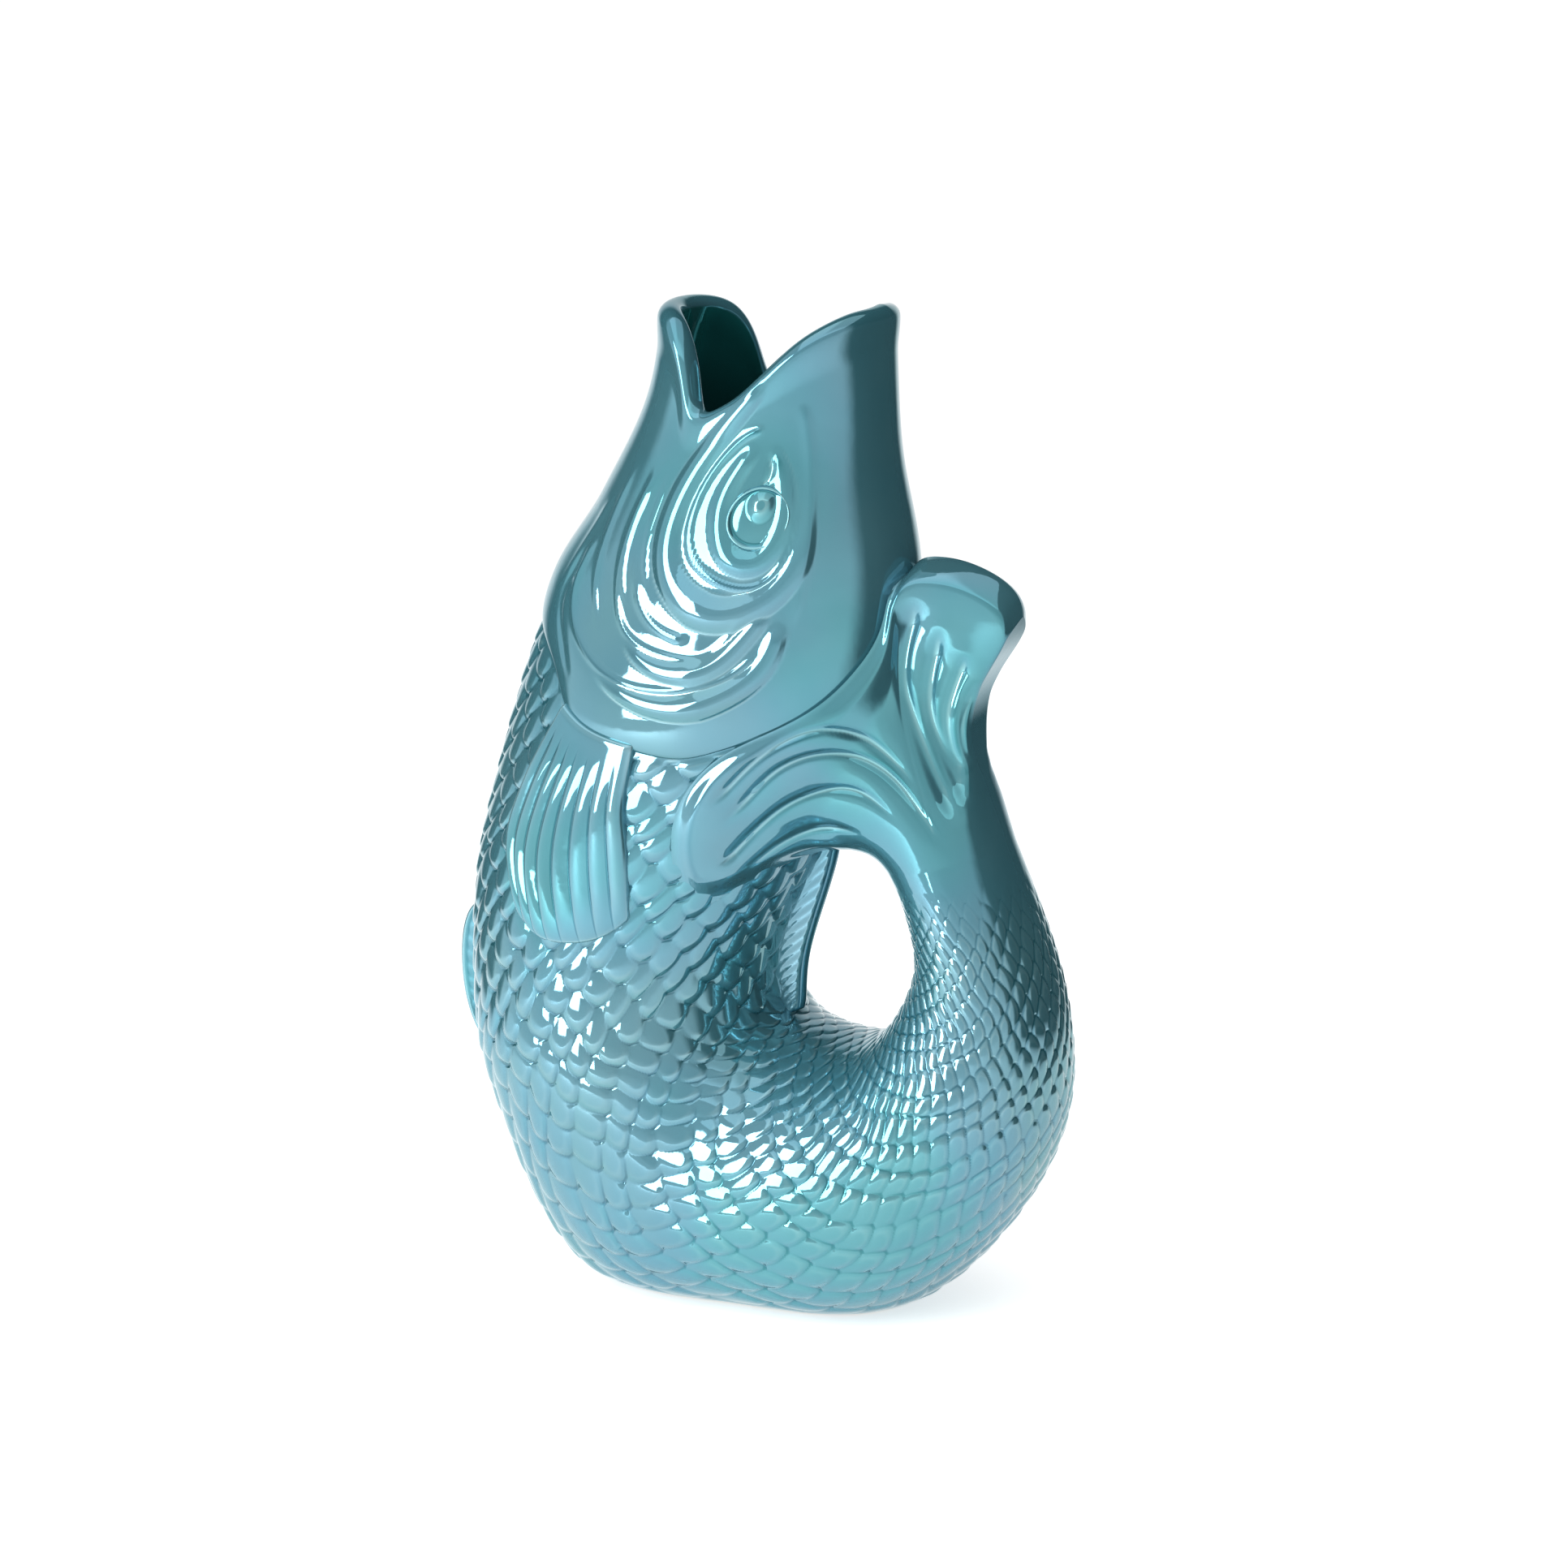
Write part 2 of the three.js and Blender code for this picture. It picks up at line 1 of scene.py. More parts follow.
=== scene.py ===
"""A fish-shaped carafe in turquoise lustre glaze, dressed over its solids.

The fish stands head up: its open mouth is the spout, its belly holds the water, and its tail curls
round a finger hole and returns to the body as the handle. Sizes are in millimetres. The frame has +Z
up, +X from the belly to the handle, and the fish's left flank towards -Y. Places along the fish are
counted in its sections, and places around it in radians from the belly to the back.
"""

import logging
from dataclasses import dataclass, field
from enum import Enum

import bpy
import numpy as np
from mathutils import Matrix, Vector

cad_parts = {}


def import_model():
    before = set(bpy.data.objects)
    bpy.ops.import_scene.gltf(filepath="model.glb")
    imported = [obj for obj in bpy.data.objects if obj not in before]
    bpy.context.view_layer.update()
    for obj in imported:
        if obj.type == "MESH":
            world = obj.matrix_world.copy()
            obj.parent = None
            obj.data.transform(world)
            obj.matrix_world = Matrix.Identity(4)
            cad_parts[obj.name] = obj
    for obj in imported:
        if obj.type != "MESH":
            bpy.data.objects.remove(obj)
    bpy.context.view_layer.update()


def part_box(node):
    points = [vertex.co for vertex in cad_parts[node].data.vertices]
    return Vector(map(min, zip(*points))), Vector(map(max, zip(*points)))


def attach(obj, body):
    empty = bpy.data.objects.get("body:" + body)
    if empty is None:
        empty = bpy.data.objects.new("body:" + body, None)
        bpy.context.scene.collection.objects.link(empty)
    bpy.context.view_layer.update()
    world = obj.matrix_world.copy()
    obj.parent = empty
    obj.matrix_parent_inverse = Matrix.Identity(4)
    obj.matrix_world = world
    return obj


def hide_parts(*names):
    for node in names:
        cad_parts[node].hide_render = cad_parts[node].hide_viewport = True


Array = np.ndarray
Points = tuple[tuple[float, ...], ...]
Colour = tuple[float, float, float]
Pair = tuple[float, float]
Socket = bpy.types.NodeSocket
Piece = bpy.types.Object

MM = 0.001
BODY = "root"
log = logging.getLogger("carafe")


def smooth(value: Array, low: float, high: float) -> Array:
    """Cubic step 3t^2 - 2t^3 of a value between two limits.

    Args:
        value: where the step is taken.
        low: limit at which it is 0.
        high: limit at which it is 1.

    Returns:
        The step, from 0 to 1.
    """
    share = np.clip((value - low) / (high - low), 0.0, 1.0)
    return share * share * (3.0 - 2.0 * share)


def mix(first: Array, second: Array, share: Array) -> Array:
    """The value a share of the way from the first to the second."""
    return first + (second - first) * share


def round_max(first: Array, second: Array, blend: float) -> Array:
    """Larger of two heights, with the crease between them filled.

    Args:
        first: one height.
        second: the other height.
        blend: difference of the heights below which (blend - |a - b|)^2 / 4 blend fills the crease.

    Returns:
        The joined height.
    """
    near = np.maximum(blend - np.abs(first - second), 0.0)
    return np.maximum(first, second) + near * near / (4.0 * blend)


def swell(share: Array) -> Array:
    """Rounded rise (1 - (1 - t)^3)^(1/3), which leaves 0 upright and reaches 1 level."""
    return np.cbrt(1.0 - (1.0 - np.clip(share, 0.0, 1.0)) ** 3)


def patch(edges: tuple[Array, ...], corners: tuple[Array, ...], across: Array, along: Array) -> Array:
    """Places between four edges: the blends of opposite edges less the blend of the corners.

    Args:
        edges: points of the first, last, low and high edge.
        corners: the first edge's two ends and the last edge's two ends.
        across: place from the low to the high edge, from 0 to 1.
        along: place from the first to the last edge, from 0 to 1.

    Returns:
        Points with two numbers in the last axis.
    """
    first, last, low, high = edges
    side, end = across[..., None], along[..., None]
    ruled = mix(first, last, end) + mix(low, high, side)
    return ruled - mix(mix(corners[0], corners[1], side), mix(corners[2], corners[3], side), end)


class Spline:
    """Smooth cubic curve through given points."""

    def __init__(self, points: Points) -> None:
        """Finds the slopes m at the points p, for which the curve's bend is continuous.

        They solve m[i-1] + 4 m[i] + m[i+1] = 3 (p[i+1] - p[i-1]), with straight ends.

        Args:
            points: the points.
        """
        self.knots = np.array(points, float)
        self.count = len(self.knots)
        system = 4.0 * np.eye(self.count) + np.eye(self.count, k=1) + np.eye(self.count, k=-1)
        system[0, 0] = system[-1, -1] = 2.0
        long = np.vstack([self.knots[:1], self.knots, self.knots[-1:]])
        self.slopes = np.linalg.solve(system, 3.0 * (long[2:] - long[:-2]))

    def at(self, place: Array) -> Array:
        """Points of the curve: the cubic Hermite blend of two points and their slopes.

        Args:
            place: places counted in knots, from 0 to the last.

        Returns:
            One point for each place, in a last axis.
        """
        place = np.asarray(place, float)
        low = np.clip(np.floor(place).astype(int), 0, self.count - 2)
        share = (place - low)[..., None]
        start, end = self.knots[low], self.knots[low + 1]
        leave, arrive = self.slopes[low], self.slopes[low + 1]
        cubic = 2.0 * (start - end) + leave + arrive
        square = 3.0 * (end - start) - 2.0 * leave - arrive
        return ((cubic * share + square) * share + leave) * share + start

    def share(self, share: Array) -> Array:
        """Points at shares of the whole curve, from 0 to 1."""
        return self.at(np.asarray(share, float) * (self.count - 1))

    def run(self, steps: int = 24) -> Array:
        """Points along the whole curve, some steps for each stretch between knots."""
        return self.share(np.linspace(0.0, 1.0, steps * (self.count - 1) + 1))


@dataclass
class Fish:
    """Form of the fish: ellipses between a back rail and a belly rail."""

    # Each section is (back x, back z, belly x, belly z, half width)
    sections: Points = (
        (34.4, 265, -26.3, 262.5, 27),  # lips
        (35.5, 240, -30.5, 239, 26.5),  # mouth corner
        (37.4, 220, -41, 217, 30.5),  # eye
        (41.5, 197, -54, 192, 36),  # nape
        (39.5, 168, -64.8, 165, 41),  # gill
        (29, 142, -73.3, 135.6, 44.3),  # shoulder
        (14, 115, -78.8, 107.5, 45.9),  # breast
        (4.5, 91, -78.3, 71.5, 47.6),  # belly
        (7, 77, -70.8, 44.5, 48.3),  # vent
        (16, 73, -46.8, 2.2, 45.4),  # foot front
        (26, 71.5, -1.5, -4.5, 45.2),  # foot middle
        (34.5, 74, 43.5, 1, 41.2),  # foot rear
        (40.5, 81.5, 76.4, 36.5, 32.8),  # tail root
        (44.6, 92, 84.8, 68, 25.5),  # handle
        (43.6, 104, 80, 97, 22),  # upper handle
        (36.5, 118.5, 68.6, 127, 19.5),  # tail end
        (28.5, 122.5, 61.5, 145.5, 17.5),  # way that the tail fin goes on
    )
    wall: float = 5.0
    floor: float = 6.0
    foot_round: float = 1.6
    # Sections at which the breast, the belly and the foot end
    breast_end: float = 6.4
    belly_end: float = 9.2
    tail_joint: float = 12.0
    # Drop of the lip below the tips of the jaws, as (degrees, millimetres)
    mouth_edge: Points = (
        (0, 0.3), (22, 0.8), (44, 3.8), (58, 11.5), (66, 20.5), (74, 26.8), (83, 25.6), (93, 21.5),
        (108, 13.6), (126, 6.8), (148, 2.9), (165, 2), (180, 1.5),
    )
    # Lower edge of the gill cover, as (degrees, section)
    gill_edge: Points = (
        (0, 3.3), (45, 3.75), (65, 4.25), (90, 4.5), (108, 4.55), (130, 4.35), (180, 4.1),
    )
    lip_section: float = 0.5
    step: float = 1e-3
    # Sections between which a point of the flank is looked for, and how often the span is halved
    flank_span: Pair = (1.0, 8.0)
    halvings: int = 30
    samples: int = 2000

    def __post_init__(self) -> None:
        """Lays the rails and the two edges."""
        self.rails = Spline(self.sections)
        self.last = float(self.rails.count - 2)
        self.mouth_run = Spline(self.mouth_edge).run()
        self.gill_run = Spline(self.gill_edge).run()

    def skin(self, section: Array, angle: Array, lift: Array = 0.0) -> Array:
        """Points of the skin: middle + depth cos(angle) along the section, -width sin(angle) across.

        Args:
            section: place along the fish.
            angle: place around it.
            lift: height above the skin, along the ellipse's normal.

        Returns:
            Points with x, y and z in the last axis.
        """
        section, angle, lift = np.broadcast_arrays(section, angle, lift)
        rails = self.rails.at(section)
        back, belly, wide = rails[..., 0:2], rails[..., 2:4], rails[..., 4]
        half = (belly - back) / 2.0
        deep = np.linalg.norm(half, axis=-1)
        cosine, sine = np.cos(angle), np.sin(angle)
        normal = np.stack([wide * cosine, deep * sine], axis=-1)
        normal /= np.linalg.norm(normal, axis=-1, keepdims=True)
        along = deep * cosine + lift * normal[..., 0]
        flat = (back + belly) / 2.0 + half * (along / deep)[..., None]
        across = -(wide * sine + lift * normal[..., 1])
        return np.stack([flat[..., 0], across, flat[..., 1]], axis=-1)

    def lengthwise(self, section: Array, angle: Array) -> Array:
        """Millimetres that the skin moves for each section."""
        ahead = self.skin(section + self.step, angle) - self.skin(section, angle)
        return np.linalg.norm(ahead, axis=-1) / self.step

    def crosswise(self, section: Array, angle: Array) -> Array:
        """Millimetres that the skin moves for each radian around."""
        aside = self.skin(section, angle + self.step) - self.skin(section, angle)
        return np.linalg.norm(aside, axis=-1) / self.step

    @staticmethod
    def _around(run: Array, angle: Array) -> Array:
        """Value of an edge at an angle, the same on both flanks."""
        degrees = np.degrees(np.arccos(np.clip(np.cos(angle), -1.0, 1.0)))
        return np.interp(degrees, run[:, 0], run[:, 1])

    def gill(self, angle: Array) -> Array:
        """Section of the gill cover's lower edge."""
        return self._around(self.gill_run, angle)

    def lip(self, angle: Array) -> Array:
        """Section of the lip."""
        spacing = self.lengthwise(np.full_like(angle, self.lip_section), angle)
        return self._around(self.mouth_run, angle) / spacing

    def handle_reach(self) -> float:
        """Largest x of the belly rail, which is the handle's outer side."""
        return self.rails.at(np.linspace(0.0, self.last, self.samples))[:, 2].max()

    def flank(self, x: Array, z: Array, soft: float = 0.0) -> Array:
        """Half width of the flank at a point of the side view, or zero beside the fish.

        The section whose chord passes through the point is found by halving, and the half width is
        wide sqrt((q + sqrt(q^2 + soft^2)) / 2) with q = 1 - share^2 and the share counted from the
        chord's middle. A soft flank runs out gently beside the fish.

        Args:
            x: place in the side view.
            z: height.
            soft: how gently it runs out.

        Returns:
            Half widths.
        """
        above, below = (np.full(x.shape, section) for section in self.flank_span)
        for _ in range(self.halvings):
            half = (above + below) / 2.0
            rails = self.rails.at(half)
            chord_x, chord_z = rails[..., 2] - rails[..., 0], rails[..., 3] - rails[..., 1]
            ahead = chord_x * (z - rails[..., 1]) - chord_z * (x - rails[..., 0]) > 0.0
            below, above = np.where(ahead, below, half), np.where(ahead, half, above)
        rails = self.rails.at((above + below) / 2.0)
        share = 2.0 * (x - rails[..., 0]) / (rails[..., 2] - rails[..., 0]) - 1.0
        inside = 1.0 - share * share
        return rails[..., 4] * np.sqrt(np.maximum(inside + np.hypot(inside, soft), 0.0) / 2.0)


@dataclass(frozen=True)
class Glaze:
    """Turquoise lustre glaze. It is lighter where a sheet's tone is above zero, as thinner glaze with a
    painted highlight, and darker where it is below, as pooled glaze with painted shade. The hollow is
    darkened with painted shade.
    """

    name: str = "lustre_glaze"
    colour: Colour = (0.088, 0.285, 0.345)
    # The light colour serves the pale clouds and the ridges, where it paints a highlight. The dark colour
    # serves the grooves, where it paints shade along with pooled glaze.
    pale: Colour = (0.23, 0.45, 0.49)
    deep: Colour = (0.006, 0.13, 0.17)
    # Darker colour of the hollow: painted shade inside the fish
    inner: Colour = (0.015, 0.17, 0.17)
    clay: Colour = (0.62, 0.56, 0.48)
    roughness: float = 0.05
    metal: float = 0.6
    index: float = 2.1
    film_index: float = 1.9
    film_range: Pair = (330.0, 430.0)
    film_waves: float = 16.0
    film_detail: float = 2.0
    film_span: Pair = (0.3, 0.7)
    # Bends, in one over millimetres, over which the glaze turns pale, as thinner glaze with a painted
    # highlight, or deep, as pooled glaze with painted shade, and how far it does
    pale_bend: Pair = (0.06, 0.9)
    pale_share: float = 0.75
    deep_bend: Pair = (-0.06, -0.8)
    deep_share: float = 0.65
    # Pale clouds and the fine ripple, whose waves are counted to the metre
    cloud_waves: float = 28.0
    cloud_detail: float = 3.0
    cloud_span: Pair = (0.3, 0.75)
    cloud_share: float = 0.18
    ripple_waves: float = 220.0
    ripple_detail: float = 2.0
    ripple_strength: float = 0.035
    ripple_height: float = 0.001
    clay_roughness: float = 0.85

    def material(self) -> bpy.types.Material:
        """Wires the glaze from the surface's own attributes.

        Returns:
            The material.
        """
        material = bpy.data.materials.new(self.name)
        material.use_nodes = True
        wires = Wires(material.node_tree)
        place = wires.add("ShaderNodeTexCoord").outputs["Object"]
        tone = wires.attribute("tone")
        cloud = wires.noise(place, self.cloud_waves, self.cloud_detail)
        # Painted highlight with thinner glaze where the sheet's tone is above zero, and painted shade
        # with pooled glaze where it is below
        thin_glaze_and_painted_highlight = wires.span(tone, *self.pale_bend, 0.0, self.pale_share)
        pooled_glaze_and_painted_shade = wires.span(tone, *self.deep_bend, 0.0, self.deep_share)
        mottle = wires.span(cloud, *self.cloud_span, 0.0, self.cloud_share)
        colour = wires.blend(mottle, self.colour, self.pale)
        colour = wires.blend(thin_glaze_and_painted_highlight, colour, self.pale)
        colour = wires.blend(pooled_glaze_and_painted_shade, colour, self.deep)
        # Painted shade in the hollow, by how far each point is inside
        colour = wires.blend(wires.attribute("inside"), colour, self.inner)
        bare = wires.attribute("bare")
        colour = wires.blend(bare, colour, self.clay)
        drift = wires.noise(place, self.film_waves, self.film_detail)
        film = wires.span(drift, *self.film_span, *self.film_range)
        ripple = wires.noise(place, self.ripple_waves, self.ripple_detail)
        bump_inputs = {"Strength": self.ripple_strength, "Distance": self.ripple_height, "Height": ripple}
        bump = wires.add("ShaderNodeBump", bump_inputs)
        rough = wires.span(bare, 0.0, 1.0, self.roughness, self.clay_roughness)
        shader = wires.add(
            "ShaderNodeBsdfPrincipled",
            {
                "Base Color": colour,
                "Roughness": rough,
                "Metallic": wires.span(bare, 0.0, 1.0, self.metal, 0.0),
                "IOR": self.index,
                "Thin Film Thickness": film,
                "Thin Film IOR": self.film_index,
                "Normal": bump.outputs["Normal"],
            },
        )
        wires.add("ShaderNodeOutputMaterial", {"Surface": shader.outputs["BSDF"]})
        return material


class Wires:
    """Adds and links shader nodes in one tree."""

    def __init__(self, tree: bpy.types.NodeTree) -> None:
        """Takes an emptied tree."""
        self.tree = tree
        tree.nodes.clear()

    def add(self, kind: str, inputs: dict | None = None, **settings: object) -> bpy.types.Node:
        """Adds a node.

        Args:
            kind: the node's type.
            inputs: values or sockets for its inputs, by name or number.
            settings: the node's own properties.

        Returns:
            The node.
        """
        node = self.tree.nodes.new(kind)
        for key, value in settings.items():
            setattr(node, key, value)
        for key, value in (inputs or {}).items():
            if isinstance(value, Socket):
                self.tree.links.new(value, node.inputs[key])
            else:
                node.inputs[key].default_value = value
        return node

    def attribute(self, name: str) -> Socket:
        """Value of a piece's own attribute."""
        return self.add("ShaderNodeAttribute", attribute_name=name).outputs["Fac"]

    def noise(self, place: Socket, scale: float, detail: float) -> Socket:
        """Cloudy value from 0 to 1 in space, with so many waves to the metre."""
        inputs = {"Vector": place, "Scale": scale, "Detail": detail}
        return self.add("ShaderNodeTexNoise", inputs).outputs["Fac"]

    def span(
        self, value: Socket, low: float, high: float, to_low: float = 0.0, to_high: float = 1.0
    ) -> Socket:
        """A value moved smoothly from one span to another and held at its ends."""
        inputs = {"Value": value, "From Min": low, "From Max": high, "To Min": to_low, "To Max": to_high}
        return self.add("ShaderNodeMapRange", inputs, interpolation_type="SMOOTHSTEP").outputs["Result"]

    def times(self, first: Socket, second: object) -> Socket:
        """Product of two values."""
        return self.add("ShaderNodeMath", {0: first, 1: second}, operation="MULTIPLY").outputs[0]

    def dot(self, way: Socket, axis: Vector) -> Socket:
        """Share of a direction along an axis."""
        inputs = {0: way, 1: tuple(axis)}
        return self.add("ShaderNodeVectorMath", inputs, operation="DOT_PRODUCT").outputs["Value"]

    def blend(self, share: Socket, first: object, second: object) -> Socket:
        """One colour turning into another by a share."""
        inputs = {0: share, 6: self._colour(first), 7: self._colour(second)}
        return self.add("ShaderNodeMix", inputs, data_type="RGBA").outputs[2]

    @staticmethod
    def _colour(value: object) -> object:
        """A colour with its alpha, or a socket as it is."""
        return value if isinstance(value, Socket) else (*value, 1.0)


@dataclass
class Sheet:
    """Points of one surface in rows and columns, with its normals and its tone: the bend that lightens
    the glaze with thin glaze and a painted highlight, or darkens it with pooled glaze and painted shade.
    """

    grid: Array
    around: bool
    before: Array | None = None
    after: Array | None = None
    reach: int = 2
    normals: Array = field(init=False)
    tone: Array = field(init=False)

    def __post_init__(self) -> None:
        """Works out the normals, as the cross product of the two slopes, and the tone."""
        first = self.before if self.before is not None else 2.0 * self.grid[:1] - self.grid[:2][-1:]
        last = self.after if self.after is not None else 2.0 * self.grid[-1:] - self.grid[-2:][:1]
        long = np.concatenate([first, self.grid, last])
        down = long[2:] - long[:-2]
        aside = self._shift(1) - self._shift(-1)
        cross = np.cross(down, aside)
        length = np.linalg.norm(cross, axis=-1, keepdims=True)
        self.normals = cross / np.maximum(length, 1e-12)
        self.tone = self._bend()

    def _shift(self, step: int) -> Array:
        """The grid moved by some columns, round the ring or held at its edges."""
        if self.around:
            return np.roll(self.grid, -step, axis=1)
        columns = np.clip(np.arange(self.grid.shape[1]) + step, 0, self.grid.shape[1] - 1)
        return self.grid[:, columns]

    def _bend(self) -> Array:
        """Mean bend both ways, -4 (P+ + P- - 2P).n / |P+ - P-|^2, in one over millimetres.

        It is taken with the sheet's own normals, before firing turns them outwards. Ridges count above
        zero where these already point outwards, as on the body and the tail, and below zero where they
        point inwards, as on the head and the tail fin. The rows at both ends take the bend of the
        nearest whole one.
        """
        count = len(self.grid)
        rows = np.arange(count)
        up = self.grid[np.clip(rows + self.reach, 0, count - 1)]
        low = self.grid[np.clip(rows - self.reach, 0, count - 1)]
        total = np.zeros(self.grid.shape[:2])
        for ahead, behind in ((up, low), (self._shift(self.reach), self._shift(-self.reach))):
            sag = np.sum((ahead + behind - 2.0 * self.grid) * self.normals, axis=-1)
            span = np.sum((ahead - behind) ** 2, axis=-1)
            total -= 4.0 * sag / np.maximum(span, 1e-4)
        return total[np.clip(rows, min(self.reach, count - 1), max(count - 1 - self.reach, 0))]


def quads(rows: int, columns: int, around: bool, joined: bool) -> Array:
    """Corner numbers of the faces between the points of a grid.

    Args:
        rows: rows of points.
        columns: columns of points.
        around: whether the last column joins the first.
        joined: whether the last row joins the first.

    Returns:
        Four corners for each face.
    """
    row = np.arange(rows if joined else rows - 1)
    column = np.arange(columns if around else columns - 1)
    row, column = np.meshgrid(row, column, indexing="ij")
    down, aside = (row + 1) % rows, (column + 1) % columns
    corners = [(row, column), (row, aside), (down, aside), (down, column)]
    return np.stack([one * columns + other for one, other in corners], axis=-1).reshape(-1, 4)


@dataclass
class Workshop:
    """Turns grids into glazed pieces in the CAD frame."""

    shift: float
    glaze: bpy.types.Material

    def fire(
        self,
        name: str,
        node: str,
        sheets: list[Sheet],
        faces: Array,
        inside: Array | float = 0.0,
        bare: Array | float = 0.0,
    ) -> Piece:
        """Makes one piece that stands for a CAD node, with its faces and normals turned outwards.

        The faces are turned by the volume that they enclose, and each sheet's normals by its own faces.

        Args:
            name: the piece's name.
            node: the CAD node that it stands for.
            sheets: its sheets, in the order of its points.
            faces: four corner numbers for each face.
            inside: how far each point is in the hollow.
            bare: how far each point is unglazed.

        Returns:
            The piece.
        """
        points = np.concatenate([sheet.grid.reshape(-1, 3) for sheet in sheets])
        normals = np.concatenate([sheet.normals.reshape(-1, 3) for sheet in sheets])
        corners = points[faces]
        across = np.cross(corners[:, 2] - corners[:, 0], corners[:, 3] - corners[:, 1])
        if np.sum(across * (corners.mean(axis=1) - points.mean(axis=0))) < 0.0:
            faces, across = faces[:, ::-1], -across
        number = np.repeat(np.arange(len(sheets)), [sheet.tone.size for sheet in sheets])
        own = np.ptp(number[faces], axis=1) == 0
        agree = np.sum(across * normals[faces].mean(axis=1), axis=-1)
        turn = np.bincount(number[faces[own, 0]], agree[own], len(sheets))
        normals = normals * np.where(turn < 0.0, -1.0, 1.0)[number][:, None]
        tone = np.concatenate([sheet.tone.ravel() for sheet in sheets])

        place = (points + np.array([self.shift, 0.0, 0.0])) * MM
        mesh = bpy.data.meshes.new(name)
        mesh.from_pydata(place, [], faces.tolist())
        for layer, values in (("tone", tone), ("inside", inside), ("bare", bare)):
            attribute = mesh.attributes.new(layer, "FLOAT", "POINT")
            values = np.broadcast_to(np.ravel(values), len(points)).astype(np.float32)
            attribute.data.foreach_set("value", values)
        mesh.shade_smooth()
        mesh.normals_split_custom_set_from_vertices(normals)
        mesh.materials.append(self.glaze)
        piece = bpy.data.objects.new(name, mesh)
        bpy.context.scene.collection.objects.link(piece)
        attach(piece, BODY)
        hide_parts(node)
        log.info("%s: %d points, %d faces", name, len(points), len(faces))
        return piece

    def cast(
        self, name: str, node: str, sheets: list[Sheet], hollow: int, bare: Array | None = None
    ) -> Piece:
        """Fires a hollow casting whose sheets follow each other round its wall.

        Args:
            name: the piece's name.
            node: the CAD node that it stands for.
            sheets: the sheets, in order from the outside over the end to the inside.
            hollow: number of the first sheet that is in the hollow.
            bare: how far the first sheet is unglazed.

        Returns:
            The piece.
        """
        counts = [len(sheet.grid) for sheet in sheets]
        inside = np.zeros((sum(counts), sheets[0].grid.shape[1]))
        clay = inside.copy()
        inside[sum(counts[:hollow]):] = 1.0
        if bare is not None:
            clay[: len(bare)] = bare
        return self.fire(name, node, sheets, quads(*inside.shape, True, True), inside, clay)

    def press(self, name: str, node: str, upper: Sheet, lower: Sheet) -> Piece:
        """Fires a slab between two sheets of the same rows and columns, closed round its border.

        Args:
            name: the piece's name.
            node: the CAD node that it stands for.
            upper: one sheet.
            lower: the other.

        Returns:
            The piece.
        """
        rows, columns = upper.grid.shape[:2]
        size = rows * columns
        number = np.arange(size).reshape(rows, columns)
        border = np.concatenate([number[0, :-1], number[:-1, -1], number[-1, :0:-1], number[:0:-1, 0]])
        ahead = np.roll(border, -1)
        rim = np.stack([border, border + size, ahead + size, ahead], axis=-1)
        top = quads(rows, columns, False, False)
        faces = np.concatenate([top, (top + size)[:, ::-1], rim])
        return self.fire(name, node, [upper, lower], faces)


class Relief(Enum):
    """Ways in which a line stands out of the clay."""

    BEAD = "a round-backed roll with a crease on each side"
    THREAD = "a fine soft ridge"
    GROOVE = "a fine soft groove"
    FLUTE = "a crisp groove between two gently rounded bands"


@dataclass(frozen=True)
class Fold:
    """One line of relief, drawn in the side view."""

    kind: Relief
    path: Points
    height: float
    half: float
    taper: Pair = (1.0, 1.0)
    fade: Pair = (0.0, 0.0)
    crease: float = 0.3
    lowest: float = -1.0
    band: float = 3.0
    steps: int = 10

    def raise_from(self, height: Array, x: Array, z: Array) -> Array:
        """Adds the fold to a height.

        A bead is H (1 - (d / w)^2), joined by the rounded maximum. A thread is H exp(-(d / w)^2), a
        groove is the same below the surface, and a flute is the mean of a groove and one three times as
        wide. d is the distance to the path. H fades at its ends, and w tapers from its middle to them.

        Args:
            height: height so far.
            x: places in the side view.
            z: heights in the side view.

        Returns:
            The new height.
        """
        run = Spline(self.path).run(self.steps)
        start, chord = run[:-1], np.diff(run, axis=0)
        length = np.sum(chord**2, axis=-1)
        best = np.full(x.shape, np.inf)
        place = np.zeros(x.shape)
        for number, (point, step, square) in enumerate(zip(start, chord, length)):
            share = np.clip(((x - point[0]) * step[0] + (z - point[1]) * step[1]) / square, 0.0, 1.0)
            gap = (x - point[0] - share * step[0]) ** 2 + (z - point[1] - share * step[1]) ** 2
            nearer = gap < best
            best = np.where(nearer, gap, best)
            place = np.where(nearer, (number + share) / len(start), place)
        distance = np.sqrt(best)
        ends = np.interp(place, [0.0, 0.5, 1.0], [self.taper[0], 1.0, self.taper[1]])
        full = np.ones(x.shape)
        if self.fade[0]:
            full *= smooth(place, 0.0, self.fade[0])
        if self.fade[1]:
            full *= 1.0 - smooth(place, 1.0 - self.fade[1], 1.0)
        share = distance / (self.half * ends)
        if self.kind is Relief.BEAD:
            roll = self.height * full * ends * (1.0 - share**2) - self.crease * (1.0 - full)
            return round_max(height, np.maximum(roll, self.lowest), self.crease)
        if self.kind is Relief.FLUTE:
            both = np.exp(-(share**2)) + np.exp(-((share / self.band) ** 2))
            return height - self.height * full * both / 2.0
        ridge = self.height * full * np.exp(-(share**2))
        return height + ridge if self.kind is Relief.THREAD else height - ridge


